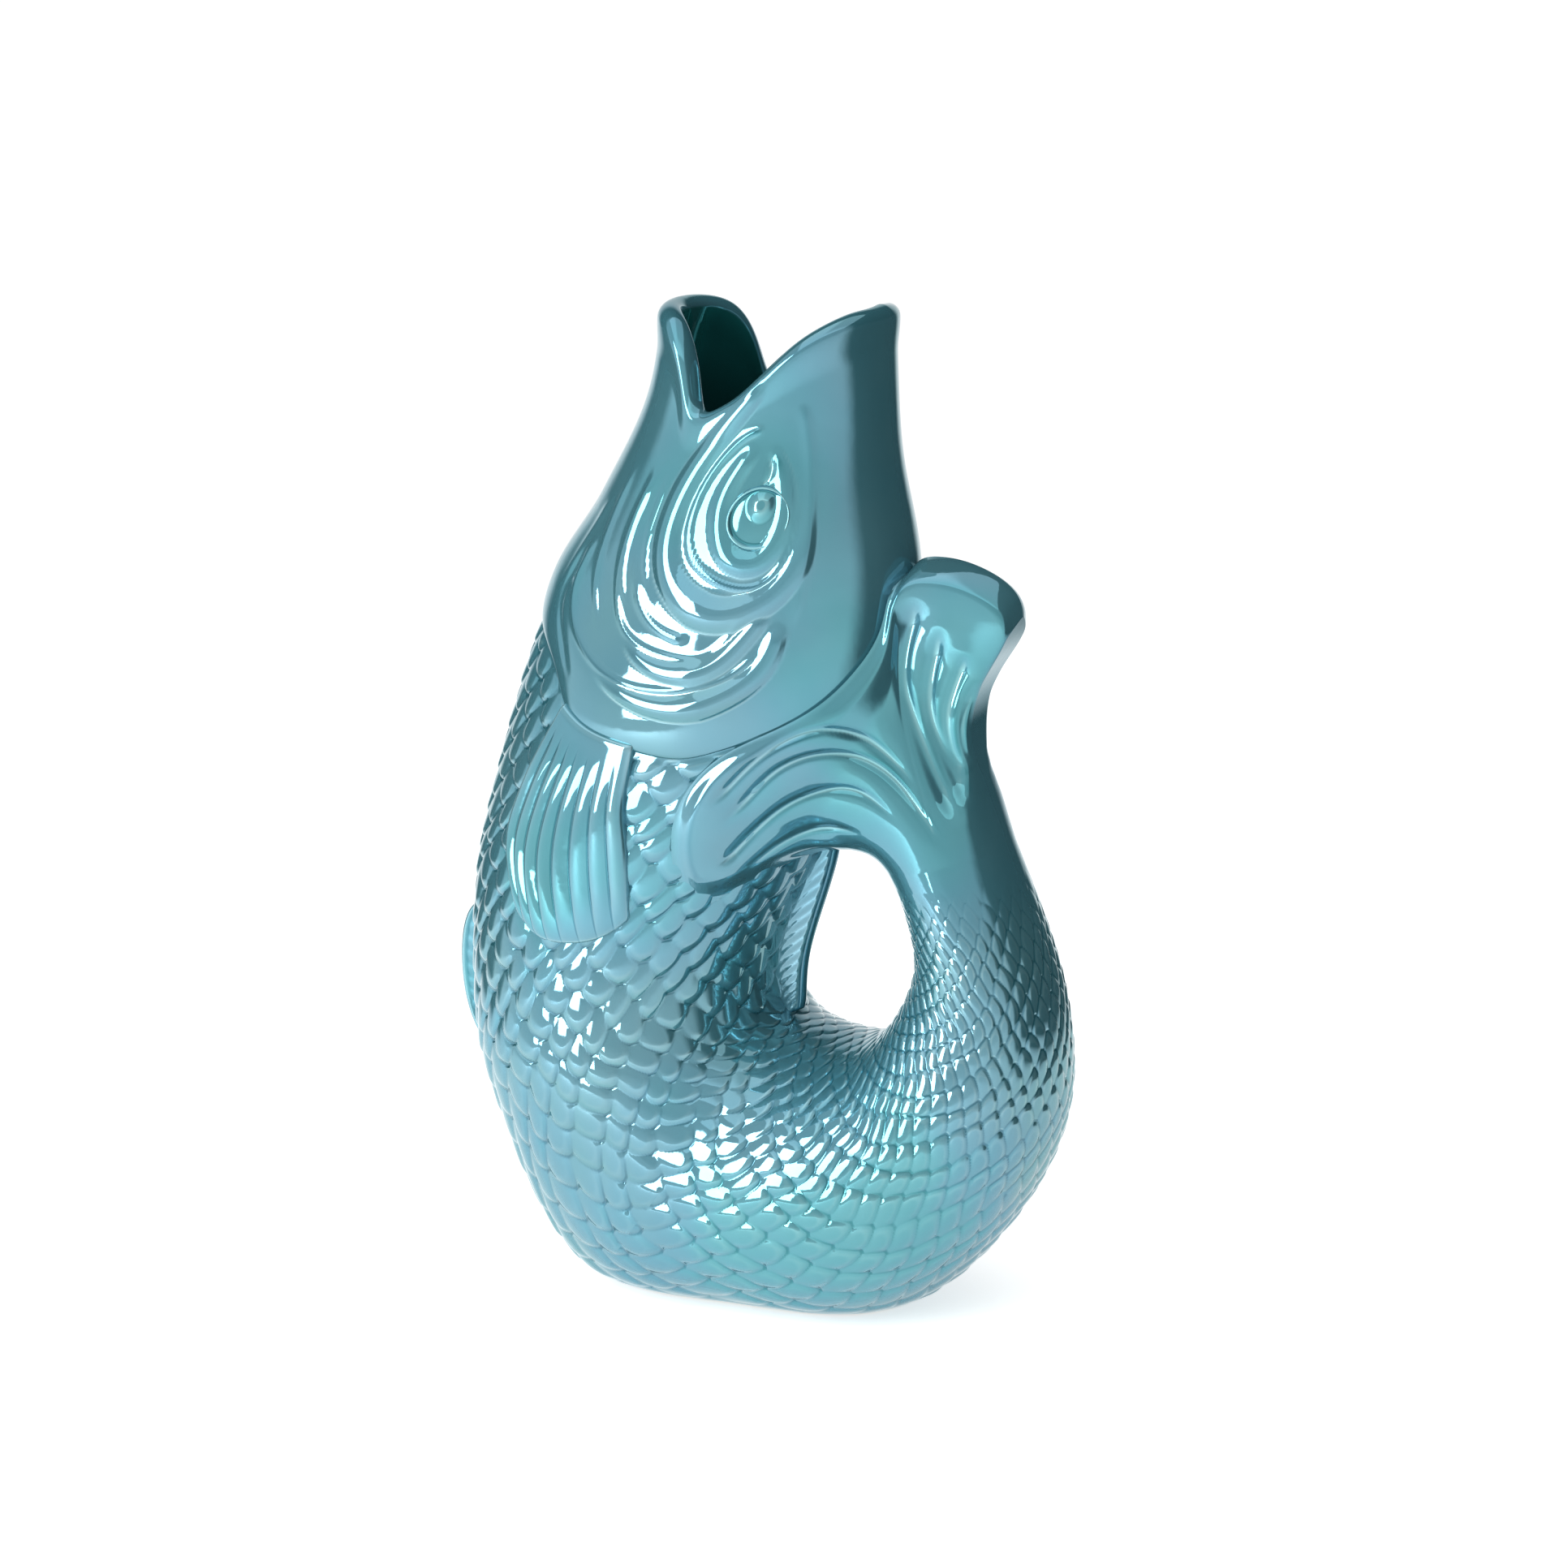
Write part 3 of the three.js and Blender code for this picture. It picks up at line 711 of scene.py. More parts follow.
@dataclass
class HeadCasting:
    """Open neck and mouth down to the gill cover, with the folds round the eyes."""

    fish: Fish
    rows: int = 250
    around: int = 320
    crowd: float = 1.35
    lip_rows: int = 14
    lip_round: float = 3.2
    lip_swell: float = 0.8
    lip_reach: float = 9.0
    inner_rows: int = 40
    gill_step: float = 2.6
    gill_roll: float = 13.0
    gill_fade: float = 34.0
    gill_soft: Pair = (100.0, 128.0)
    fold_start: Pair = (0.5, 4.0)
    # Row past the gill cover's edge, in sections and millimetres, that turns the edge's normals down
    edge_step: float = 0.02
    edge_drop: float = 0.3
    edge_raised: float = 0.02
    folds: tuple[Fold, ...] = (
        # Lid round the eye
        Fold(
            Relief.BEAD,
            ((11, 231), (5, 222), (2, 213), (4, 204), (9, 201), (14, 203), (17.5, 211), (17, 222),
             (13, 231)),
            height=1.5, half=3.8, taper=(0.55, 0.4), fade=(0.08, 0.08),
        ),
        # Fine ring round the lid
        Fold(
            Relief.THREAD,
            ((12, 234), (6, 231), (-2, 221), (-6, 208), (-2, 199), (8, 195), (16, 198), (20, 208),
             (21, 219)),
            height=0.55, half=0.8, fade=(0.06, 0.1),
        ),
        # Outer fold, from the mouth round below the eye and up the neck's edge
        Fold(
            Relief.BEAD,
            ((12, 246), (4, 236), (-7, 221), (-12, 204), (-7, 192.5), (3, 188), (14, 191.5),
             (21, 200), (22.5, 212), (22, 230)),
            height=2.2, half=5.2, taper=(0.35, 0.3), fade=(0.06, 0.2),
        ),
        Fold(
            Relief.THREAD,
            ((20, 241), (22, 231), (24, 209), (23, 195), (21, 184)),
            height=0.45, half=1.3, fade=(0.15, 0.2),
        ),
        # Second fold with its fine edge
        Fold(
            Relief.THREAD,
            ((-13, 226), (-22, 212), (-26, 197), (-22, 182.5), (-9, 177), (2, 178), (11, 189)),
            height=0.5, half=1.0, fade=(0.12, 0.1),
        ),
        Fold(
            Relief.BEAD,
            ((-24, 183), (-17, 176.5), (-8, 173.5), (2, 175), (10, 182), (16, 190)),
            height=1.75, half=3.6, taper=(0.3, 0.6), fade=(0.2, 0.1),
        ),
        # Third fold with its fine edge
        Fold(
            Relief.THREAD,
            ((-34, 206), (-39, 195), (-36, 181), (-24, 171), (-8, 169), (7, 173), (16, 182)),
            height=0.5, half=1.0, fade=(0.12, 0.1),
        ),
        Fold(
            Relief.BEAD,
            ((-32, 174), (-20, 167), (-6, 164.5), (6, 168), (15, 175.5), (19, 188)),
            height=1.95, half=4.0, taper=(0.3, 0.6), fade=(0.2, 0.1),
        ),
        # Short fold before the cheek
        Fold(
            Relief.THREAD,
            ((-21, 198), (-18, 189), (-12, 183.5), (-4, 181)),
            height=0.7, half=1.3, fade=(0.3, 0.12),
        ),
        # Fine folds up the throat
        Fold(
            Relief.THREAD,
            ((-24, 226), (-32, 206), (-33, 192), (-28, 177)),
            height=0.4, half=1.0, fade=(0.2, 0.3),
        ),
        Fold(
            Relief.THREAD,
            ((-17, 225), (-23, 208), (-24.5, 195), (-22, 187)),
            height=0.4, half=0.9, fade=(0.2, 0.3),
        ),
        Fold(
            Relief.THREAD,
            ((-12, 224), (-17, 210), (-18, 200), (-17, 192)),
            height=0.35, half=0.9, fade=(0.2, 0.3),
        ),
        Fold(
            Relief.THREAD,
            ((-32, 214), (-40, 201), (-45, 186)),
            height=0.4, half=1.1, fade=(0.2, 0.3),
        ),
        Fold(
            Relief.GROOVE,
            ((-37, 203), (-43, 189), (-41, 178), (-36, 167)),
            height=0.5, half=1.2, fade=(0.2, 0.3),
        ),
        # Crease above the eye
        Fold(
            Relief.GROOVE,
            ((12.5, 220), (14, 224), (13.5, 229)),
            height=0.7, half=0.7, fade=(0.1, 0.4),
        ),
    )

    def relief(self, section: Array, angle: Array) -> Array:
        """Height of the folds and of the gill cover's rolled edge.

        The gill cover rises from its edge as a quarter of an ellipse and fades into the cheek.

        Args:
            section: places along the fish.
            angle: places around it.

        Returns:
            Heights above the skin.
        """
        fish = self.fish
        point = fish.skin(section, angle)
        height = np.zeros(section.shape)
        for fold in self.folds:
            height = fold.raise_from(height, point[..., 0], point[..., 2])
        inner = (fish.gill(angle) - section) * fish.lengthwise(section, angle)
        roll = np.clip(inner / self.gill_roll, 0.0, 1.0)
        degrees = np.degrees(np.arccos(np.cos(angle)))
        cover = np.sqrt(1.0 - (1.0 - roll) ** 2) * (1.0 - smooth(inner, self.gill_roll, self.gill_fade))
        cover *= self.gill_step * (1.0 - smooth(degrees, *self.gill_soft))
        return height * smooth(inner, *self.fold_start) + cover

    def swollen(self, below: Array) -> Array:
        """Swelling of the lip at a distance below it."""
        return self.lip_swell * (1.0 - smooth(below, 0.0, self.lip_reach))

    def build(self, workshop: Workshop) -> Piece:
        """Casts the head: up the outside, over the lip by half an ellipse, and down the inside.

        Args:
            workshop: where it is fired.

        Returns:
            The piece.
        """
        fish = self.fish
        angle = np.linspace(0.0, 2.0 * np.pi, self.around, endpoint=False)[None]
        spacing = fish.lengthwise(np.full_like(angle, fish.lip_section), angle)
        below = fish.lip(angle) + self.lip_round / spacing
        share = np.linspace(0.0, 1.0, self.rows)[:, None] ** self.crowd
        section = mix(fish.gill(angle), below, share)
        half = self.around // 2 + 1
        wide = np.broadcast_to(angle, section.shape)
        left = self.relief(section[:, :half], wide[:, :half])
        height = np.concatenate([left, left[:, -2:0:-1]], axis=1)
        height = height + self.swollen((section - below) * spacing)
        outer = fish.skin(section, angle, height)
        turn = np.pi * np.linspace(0.0, 1.0, self.lip_rows + 2)[1:-1, None]
        lip_height = mix(height[-1:], -fish.wall - self.lip_swell, (1.0 - np.cos(turn)) / 2.0)
        lip = fish.skin(below - self.lip_round * np.sin(turn) / spacing, angle, lip_height)
        down = np.linspace(0.0, 1.0, self.inner_rows)[:, None]
        within = mix(below, fish.gill(angle), down)
        inner = fish.skin(within, angle, -(fish.wall + self.swollen((within - below) * spacing)))
        drop = self.edge_drop * (height[1:2] > self.edge_raised)
        before = fish.skin(section[:1] + self.edge_step, angle, -drop)
        sheets = [
            Sheet(outer, True, before, lip[:1]),
            Sheet(lip, True, outer[-1:], inner[:1], 1),
            Sheet(inner, True, lip[-1:]),
        ]
        return workshop.cast("head", "head_casting", sheets, 2)


@dataclass(frozen=True)
class Scales:
    """Overlapping scales, staggered by half a column in every second row."""

    columns: int = 26
    pitch: float = 5.9
    tilt: float = 0.95
    dome: float = 0.9
    edge: float = 0.58
    sunk: float = 0.85
    full_width: float = 10.0
    fill: float = 0.36
    wander: float = 0.1
    row_waves: tuple[float, float, float] = (1.7, 2.0, 5.0)
    column_waves: Pair = (1.3, 6.0)
    # Least share of the pitch on a narrow stretch, and most share of the height on a wide one
    least: float = 0.58
    most: float = 1.1
    samples: int = 600

    def row_at(self, fish: Fish, section: Array) -> Array:
        """Row number at a section: the length of the flank's middle line over the pitch there."""
        knots = np.linspace(0.0, fish.last, self.samples)
        middle = np.full_like(knots, np.pi / 2.0)
        width = fish.crosswise(knots, middle) * 2.0 * np.pi / self.columns / self.full_width
        speed = fish.lengthwise(knots, middle) / np.clip(width, self.least, 1.0)
        travel = np.concatenate([[0.0], np.cumsum((speed[1:] + speed[:-1]) / 2.0 * np.diff(knots))])
        return np.interp(section, knots, travel / self.pitch)

    def height(self, fish: Fish, section: Array, angle: Array) -> Array:
        """Height of the scales above the skin.

        In a scale, a runs from -1 to 1 across it and b from -1 to 1 along it, and its free edge is the
        half circle a^2 + b^2 = 1. Its height is (tilt (b + 1) / 2 + dome (1 - a^2 - b^2 / 2)) rounded off
        towards the free edge, and the higher of two neighbouring rows shows.

        Args:
            fish: the form that carries them.
            section: places along the fish.
            angle: places around it.

        Returns:
            Heights.
        """
        row = self.row_at(fish, section)
        column = angle * self.columns / (2.0 * np.pi)
        lengthwise, slanted, crosswise = self.row_waves
        row, column = (
            row + self.wander * np.sin(lengthwise * row + slanted * angle) * np.cos(crosswise * angle),
            column + self.wander * np.sin(self.column_waves[0] * row + self.column_waves[1] * angle),
        )
        total = np.full(section.shape, -1.0)
        for above in (0, 1):
            number = np.floor(row) + above
            stagger = np.mod(number, 2.0) / 2.0
            across = 2.0 * (column - stagger - np.round(column - stagger))
            along = row - number
            radius = np.hypot(across, np.maximum(along, 0.0))
            cap = np.clip((1.0 - radius) / self.edge, 0.0, 1.0)
            body = self.tilt * np.clip((along + 1.0) / 2.0, 0.0, 1.0)
            body = body + self.dome * (1.0 - across**2 - along**2 / 2.0)
            total = round_max(total, body * (1.0 - (1.0 - cap) ** 2), self.fill)
        width = fish.crosswise(section, angle) * 2.0 * np.pi / self.columns / self.full_width
        middle = fish.lengthwise(section, np.full_like(angle, np.pi / 2.0))
        length = fish.lengthwise(section, angle) / middle
        return (total - self.sunk) * np.clip(np.minimum(width, length), 0.0, self.most)


@dataclass
class BodyCasting:
    """A stretch of the scaled body, between two sections from the gill cover round to the tail."""

    fish: Fish
    scales: Scales
    name: str
    ends: tuple[float | None, float]
    rows: int = 190
    around: int = 480
    inner_rows: int = 8
    start: Pair = (0.3, 2.5)
    foot_fade: Pair = (1.0, 7.0)
    bare_height: Pair = (0.9, 0.4)

    def outer(self, section: Array, angle: Array) -> Array:
        """Outer skin with its scales, standing on a softly rounded foot.

        The height z becomes (z + sqrt(z^2 + r^2)) / 2, which is flat below the foot.

        Args:
            section: places along the fish.
            angle: places around it.

        Returns:
            Points.
        """
        fish = self.fish
        plain = fish.skin(section, angle)
        past = (section - fish.gill(angle)) * fish.lengthwise(section, angle)
        share = smooth(past, *self.start) * smooth(plain[..., 2], *self.foot_fade)
        point = fish.skin(section, angle, self.scales.height(fish, section, angle) * share)
        rise = point[..., 2]
        point[..., 2] = (rise + np.sqrt(rise**2 + fish.foot_round**2)) / 2.0
        return point

    def build(self, workshop: Workshop) -> Piece:
        """Casts the body.

        Args:
            workshop: where it is fired.

        Returns:
            The piece.
        """
        fish = self.fish
        angle = np.linspace(0.0, 2.0 * np.pi, self.around, endpoint=False)[None]
        share = np.linspace(0.0, 1.0, self.rows)[:, None]
        first = fish.gill(angle) if self.ends[0] is None else np.full_like(angle, self.ends[0])
        section = mix(first, self.ends[1], share)
        wide = np.broadcast_to(angle, section.shape)
        step = section[1:2] - section[:1]
        grid = self.outer(section, wide)
        before = None if self.ends[0] is None else self.outer(section[:1] - step, wide[:1])
        outer = Sheet(grid, True, before, self.outer(section[-1:] + step, wide[-1:]))
        down = np.linspace(1.0, 0.0, self.inner_rows)[:, None]
        hollow = fish.skin(mix(first, self.ends[1], down), angle, -fish.wall)
        hollow[..., 2] = np.maximum(hollow[..., 2], fish.floor)
        bare = smooth(-grid[..., 2], -self.bare_height[0], -self.bare_height[1])
        return workshop.cast(self.name, "body_casting", [outer, Sheet(hollow, True)], 1, bare)


@dataclass
class TailCasting:
    """Hollow tail behind the finger hole, whose scales fade out below the fin."""

    fish: Fish
    scales: Scales
    fin: "TailFin"
    rows: int = 180
    around: int = 480
    inner_rows: int = 8
    fade: Pair = (13.9, 14.9)
    ahead: float = 0.01

    def build(self, workshop: Workshop) -> Piece:
        """Casts the tail from its joint on the body to the fin.

        Args:
            workshop: where it is fired.

        Returns:
            The piece.
        """
        fish = self.fish
        angle = np.linspace(0.0, 2.0 * np.pi, self.around, endpoint=False)[None]
        section = np.linspace(fish.tail_joint, fish.last, self.rows)[:, None]
        section, wide = np.broadcast_arrays(section, angle)
        step = section[1:2] - section[:1]
        share = 1.0 - smooth(section, *self.fade)
        outer = fish.skin(section, wide, self.scales.height(fish, section, wide) * share)
        early = section[:1] - step
        before = fish.skin(early, wide[:1], self.scales.height(fish, early, wide[:1]))
        across, ahead = (1.0 + np.cos(angle)) / 2.0, np.full_like(angle, self.ahead)
        after = self.fin.surface(across, ahead, np.sign(np.sin(angle)))
        hollow_at = np.linspace(fish.last, fish.tail_joint, self.inner_rows)[:, None]
        hollow = fish.skin(hollow_at, angle, -fish.wall)
        sheets = [Sheet(outer, True, before, after, 1), Sheet(hollow, True)]
        return workshop.cast("tail", "tail_casting", sheets, 1)


@dataclass
class TailFin:
    """Forked and fluted fin: a patch between four edges in side view, lying over both flanks."""

    fish: Fish
    lower_edge: Points = ((30, 122.5), (20, 122.5), (10, 118.5))
    lower_tip: Pair = (-1, 111.5)
    trailing_edge: Points = (
        (-6, 118.5), (-7, 128.5), (-5.5, 137), (-1.5, 145), (6.5, 153), (17.5, 159), (27, 165), (34, 173),
        (38.8, 184), (41.5, 197), (49, 200.2), (57, 199.2), (65, 196), (70, 191.5),
    )
    upper_tip: Pair = (71.3, 186.5)
    upper_edge: Points = ((62.6, 142.5), (59.8, 154), (61.5, 167), (67.5, 178))
    # Height over the flank at its border, on the ridge along its edge, and on the web behind the ridge
    border: float = -0.4
    ridge: float = 3.2
    web: float = 1.6
    ridge_at: float = 6.0
    web_at: float = 17.0
    corner: float = 8.0
    lobe_half: float = 5.2
    lobe_roll: float = 5.0
    run_out: float = 0.15
    swell_late: float = 1.6
    taper: float = 7.0
    edge_round: Pair = (0.2, 0.26)
    cover: Pair = (0.06, 0.36)
    on_body: Pair = (1.0, 10.0)
    buried: float = 12.0
    blend: float = 10.0
    low_weight: float = 1.6
    lobe_inset: float = 3.0
    # Half thickness, and share of the way along the fin, from which the flutes have their full depth
    flute_full: float = 5.0
    flute_start: float = 0.1
    behind: float = 0.02
    flutes: tuple[Fold, ...] = (
        # Lower lobes, as arcs round the finger hole
        Fold(
            Relief.FLUTE,
            ((3, 139), (9.5, 147), (17, 154.2), (25.3, 158.5), (33, 157.5), (42.8, 150), (51, 141.5)),
            height=1.9, half=1.0, fade=(0.12, 0.3),
        ),
        Fold(
            Relief.FLUTE,
            ((4.5, 133), (13.5, 144.4), (20.3, 150.2), (29, 152.2), (40, 147.8), (50, 138.2),
             (61, 125)),
            height=1.9, half=1.0, fade=(0.12, 0.3),
        ),
        Fold(
            Relief.FLUTE,
            ((3, 122), (9, 129.5), (17, 137.5), (26, 141.9), (36, 141.5), (47, 133)),
            height=1.9, half=1.0, fade=(0.12, 0.3),
        ),
        Fold(
            Relief.FLUTE,
            ((6, 118.5), (14, 126.5), (24, 131.2), (37, 130.5)),
            height=1.6, half=1.0, fade=(0.15, 0.3),
        ),
        # Upper lobe, spreading from the handle to the thumb rest
        Fold(
            Relief.FLUTE,
            ((46.8, 192), (43.6, 175.4), (45.7, 162.5), (53, 146), (61, 133)),
            height=2.6, half=1.7, fade=(0.12, 0.2),
        ),
        Fold(
            Relief.FLUTE,
            ((53.2, 185), (50.2, 168), (52, 157), (56.5, 147), (62, 137.5)),
            height=2.4, half=1.6, fade=(0.12, 0.2),
        ),
        Fold(
            Relief.FLUTE,
            ((60, 178), (55.2, 164), (56, 153), (61, 142)),
            height=2.0, half=1.4, fade=(0.12, 0.2),
        ),
        Fold(
            Relief.FLUTE,
            ((62, 171), (58.6, 161), (58.8, 153), (61, 147)),
            height=1.4, half=0.9, fade=(0.2, 0.25),
        ),
    )
    rows: int = 160
    around: int = 600

    def __post_init__(self) -> None:
        """Lays the four edges, of which the lower and upper go on from the fish's rails."""
        rails = self.fish.rails.at(np.array([self.fish.last - 1.0, self.fish.last]))
        self.inner, self.outer, self.tail_half = rails[1, 0:2], rails[1, 2:4], rails[1, 4]
        self.low = Spline((tuple(rails[0, 0:2]), tuple(self.inner), *self.lower_edge, self.lower_tip))
        self.high = Spline((tuple(rails[0, 2:4]), tuple(self.outer), *self.upper_edge, self.upper_tip))
        self.trail = Spline((self.lower_tip, *self.trailing_edge, self.upper_tip))

    @staticmethod
    def onward(edge: Spline, along: Array) -> Array:
        """Points of an edge from its second knot on."""
        return edge.at(1.0 + along * (edge.count - 2))

    def surface(self, across: Array, along: Array, side: Array) -> Array:
        """Points of the fin.

        Off the body, its half thickness goes from the tail's ellipse to the lobe's and rolls over at the
        trailing edge. On the body it is the flank's half width and a height that rises from the border
        to the ridge and falls to the web. The larger shows, with a wide fillet, and the flutes carve it.

        Args:
            across: place from the lower to the upper edge, from 0 to 1.
            along: place from the tail to the trailing edge, from 0 to 1.
            side: 1 on the left flank, -1 on the right.

        Returns:
            Points.
        """
        across, along, side = np.broadcast_arrays(across, along, side)
        tail_end = mix(self.inner, self.outer, across[..., None])
        edge = self.trail.share(across)
        low = self.onward(self.low, along)
        edges = tail_end, edge, low, self.onward(self.high, along)
        corners = self.inner, self.outer, self.low.knots[-1], self.high.knots[-1]
        flat = patch(edges, corners, across, along)
        flank = self.fish.flank(flat[..., 0], flat[..., 1], self.run_out)
        from_end = np.linalg.norm(flat - edge, axis=-1)
        from_low = np.linalg.norm(flat - low, axis=-1)
        inside = -round_max(-from_end, -self.low_weight * from_low, self.corner)
        rise = mix(self.border, self.ridge, smooth(inside, 0.0, self.ridge_at))
        rise = rise + (self.web - self.ridge) * smooth(inside, self.ridge_at, self.web_at)
        nose = 1.0 - np.clip(from_end / self.lobe_roll, 0.0, 1.0)
        edge_flank = self.fish.flank(edge[..., 0], edge[..., 1])
        roll = mix(np.sqrt(np.maximum(0.0, 1.0 - nose**2)), 1.0, smooth(edge_flank, *self.on_body))
        over = mix(-self.buried, (flank + rise) * roll, smooth(along, *self.cover))
        oval = 2.0 * np.sqrt(np.maximum(across * (1.0 - across), 0.0))
        tail = (self.tail_half - self.taper * along * (1.0 - along) ** 2) * oval
        lobe = np.maximum(edge_flank - self.lobe_inset, self.lobe_half)
        ends = swell(across / self.edge_round[0]) * swell((1.0 - across) / self.edge_round[1])
        plate = mix(tail, lobe * ends, along**self.swell_late) * roll
        end_roll = mix(roll, 1.0, smooth(from_end, 0.0, 2.0 * self.lobe_roll))
        half = round_max(plate, over, self.blend) * end_roll
        carved = np.zeros(half.shape)
        for flute in self.flutes:
            carved = flute.raise_from(carved, flat[..., 0], flat[..., 1])
        share = smooth(half, 0.0, self.flute_full) * smooth(along, 0.0, self.flute_start)
        half = np.maximum(half + carved * share, 0.0)
        return np.stack([flat[..., 0], -side * half, flat[..., 1]], axis=-1)

    def build(self, workshop: Workshop) -> Piece:
        """Forms the fin in rings from the tail's end to the trailing edge.

        Args:
            workshop: where it is fired.

        Returns:
            The piece.
        """
        turn = np.linspace(0.0, 2.0 * np.pi, self.around, endpoint=False)[None]
        across = (1.0 - np.cos(turn)) / 2.0
        side = np.sign(np.sin(turn))
        along = np.linspace(0.0, 1.0, self.rows)[:, None]
        grid = self.surface(across, along, side)
        before = self.fish.skin(self.fish.last - self.behind, np.pi - turn)
        level = np.array([1.0, 0.0, 1.0])
        start, end = Sheet(grid[:1] * level, True), Sheet(grid[-1:] * level, True)
        sheets = [start, Sheet(grid, True, before), end]
        faces = quads(self.rows + 2, self.around, True, False)
        return workshop.fire("tail_fin_glazed", "tail_fin", sheets, faces)


@dataclass
class BreastFin:
    """Pleated fin on one flank, a patch between four edges given as (degrees, section)."""

    fish: Fish
    side: float
    name: str
    node: str
    root: Points = ((62, 4.12), (74, 4.3), (90, 4.42))
    front: Points = ((57.5, 4.6), (55, 5.1), (57, 5.5))
    front_tip: Pair = (68, 6.1)
    end: Points = ((78, 6.27), (89, 6.33), (101, 6.3))
    rear_tip: Pair = (110, 6.15)
    rear: Points = ((93.5, 4.95), (99, 5.35), (105.5, 5.8))
    rise: float = 2.6
    ribs: int = 8
    rib_height: float = 0.9
    sunk: float = 0.6
    # Shares of the fin over which its sides, its root and its end round off, and its pleats come and go
    side_round: Pair = (0.05, 0.12)
    end_round: Pair = (0.04, 0.16)
    pleat_lean: float = 0.75
    pleat_start: Pair = (0.06, 0.34)
    pleat_end: Pair = (0.75, 1.0)
    pleat_loss: float = 0.7
    thin_span: Pair = (0.3, 1.0)
    thin_share: float = 0.6
    rows: int = 170
    columns: int = 220

    def place(self, across: Array, along: Array) -> Array:
        """Places (degrees, section) between the four edges."""
        root = Spline(self.root).share(across)
        end = Spline((self.front_tip, *self.end, self.rear_tip)).share(across)
        front = Spline((self.root[0], *self.front, self.front_tip)).share(along)
        rear = Spline((self.root[-1], *self.rear, self.rear_tip)).share(along)
        corners = np.array((self.root[0], self.root[-1], self.front_tip, self.rear_tip), float)
        return patch((root, end, front, rear), tuple(corners), across, along)

    def crown(self, across: Array, along: Array) -> Array:
        """Height of the fin: a swollen plate with pleats that are steep towards the front."""
        rim = swell(across / self.side_round[0]) * swell((1.0 - across) / self.side_round[1])
        sink = swell(along / self.end_round[0]) * swell((1.0 - along) / self.end_round[1])
        phase = np.mod(across * self.ribs, 1.0)
        pleat = np.sin(np.pi * phase**self.pleat_lean)
        fan = smooth(along, *self.pleat_start) * (1.0 - self.pleat_loss * smooth(along, *self.pleat_end))
        plate = mix(self.rise, self.rise * self.thin_share, smooth(along, *self.thin_span))
        return (plate + self.rib_height * pleat * fan) * rim * sink - self.sunk * (1.0 - rim * sink)

    def build(self, workshop: Workshop) -> Piece:
        """Presses the fin onto the flank.

        Args:
            workshop: where it is fired.

        Returns:
            The piece.
        """
        across = np.linspace(0.0, 1.0, self.columns)[None]
        along = np.linspace(0.0, 1.0, self.rows)[:, None]
        across, along = np.broadcast_arrays(across, along)
        place = self.place(across, along)
        angle, section = np.radians(place[..., 0]), place[..., 1]
        upper = self.fish.skin(section, angle, self.crown(across, along))
        lower = self.fish.skin(section, angle, -2.0 * self.sunk)
        turned = np.array([1.0, self.side, 1.0])
        sheets = Sheet(upper * turned, False), Sheet(lower * turned, False)
        return workshop.press(self.name, self.node, *sheets)


@dataclass
class Eye:
    """Low eye with a fine rim and a pupil that hangs from its upper half."""

    fish: Fish
    side: float
    name: str
    node: str
    degrees: float = 111.0
    section: float = 2.3
    wide: float = 7.6
    tall: float = 7.6
    dome: float = 0.5
    rim: float = 0.95
    rim_half: float = 0.075
    pupil: Pair = (0.05, 0.45)
    pupil_radius: float = 0.44
    pupil_height: float = 1.3
    pupil_soft: Pair = (0.3, 1.25)
    pupil_hang: float = 1.35
    # The eye's edge, in its radius, and where it starts to drop under the skin
    brim: Pair = (1.04, 1.1)
    brim_drop: float = 0.5
    sunk: float = 1.0
    rings: int = 90
    around: int = 160

    def build(self, workshop: Workshop) -> Piece:
        """Forms the eye on a polar grid: a dome, a gaussian rim and a pupil with a flattened foot.

        Args:
            workshop: where it is fired.

        Returns:
            The piece.
        """
        angle, section = np.radians(self.degrees), self.section
        length = self.fish.lengthwise(np.array(section), np.array(angle))
        girth = self.fish.crosswise(np.array(section), np.array(angle))
        radius = np.linspace(0.0, self.brim[1], self.rings)[:, None]
        turn = np.linspace(0.0, 2.0 * np.pi, self.around, endpoint=False)[None]
        x, z = radius * np.cos(turn), radius * np.sin(turn)
        rim = self.rim * np.exp(-(((radius - 1.0) / self.rim_half) ** 2))
        height = self.dome * np.maximum(0.0, 1.0 - radius**2) + rim
        hang = np.where(z < self.pupil[1], self.pupil_hang, 1.0)
        reach = np.hypot(x - self.pupil[0], (z - self.pupil[1]) / hang)
        soft = [share * self.pupil_radius for share in self.pupil_soft]
        height = height + self.pupil_height * (1.0 - smooth(reach, *soft))
        height = height - self.brim_drop * smooth(radius, *self.brim)
        section, angle = section - self.tall * z / length, angle + self.wide * x / girth
        turned = np.array([1.0, self.side, 1.0])
        upper = self.fish.skin(section, angle, height) * turned
        lower = self.fish.skin(section, angle, -self.sunk)[::-1] * turned
        faces = quads(2 * self.rings, self.around, True, False)
        return workshop.fire(self.name, self.node, [Sheet(upper, True), Sheet(lower, True)], faces)


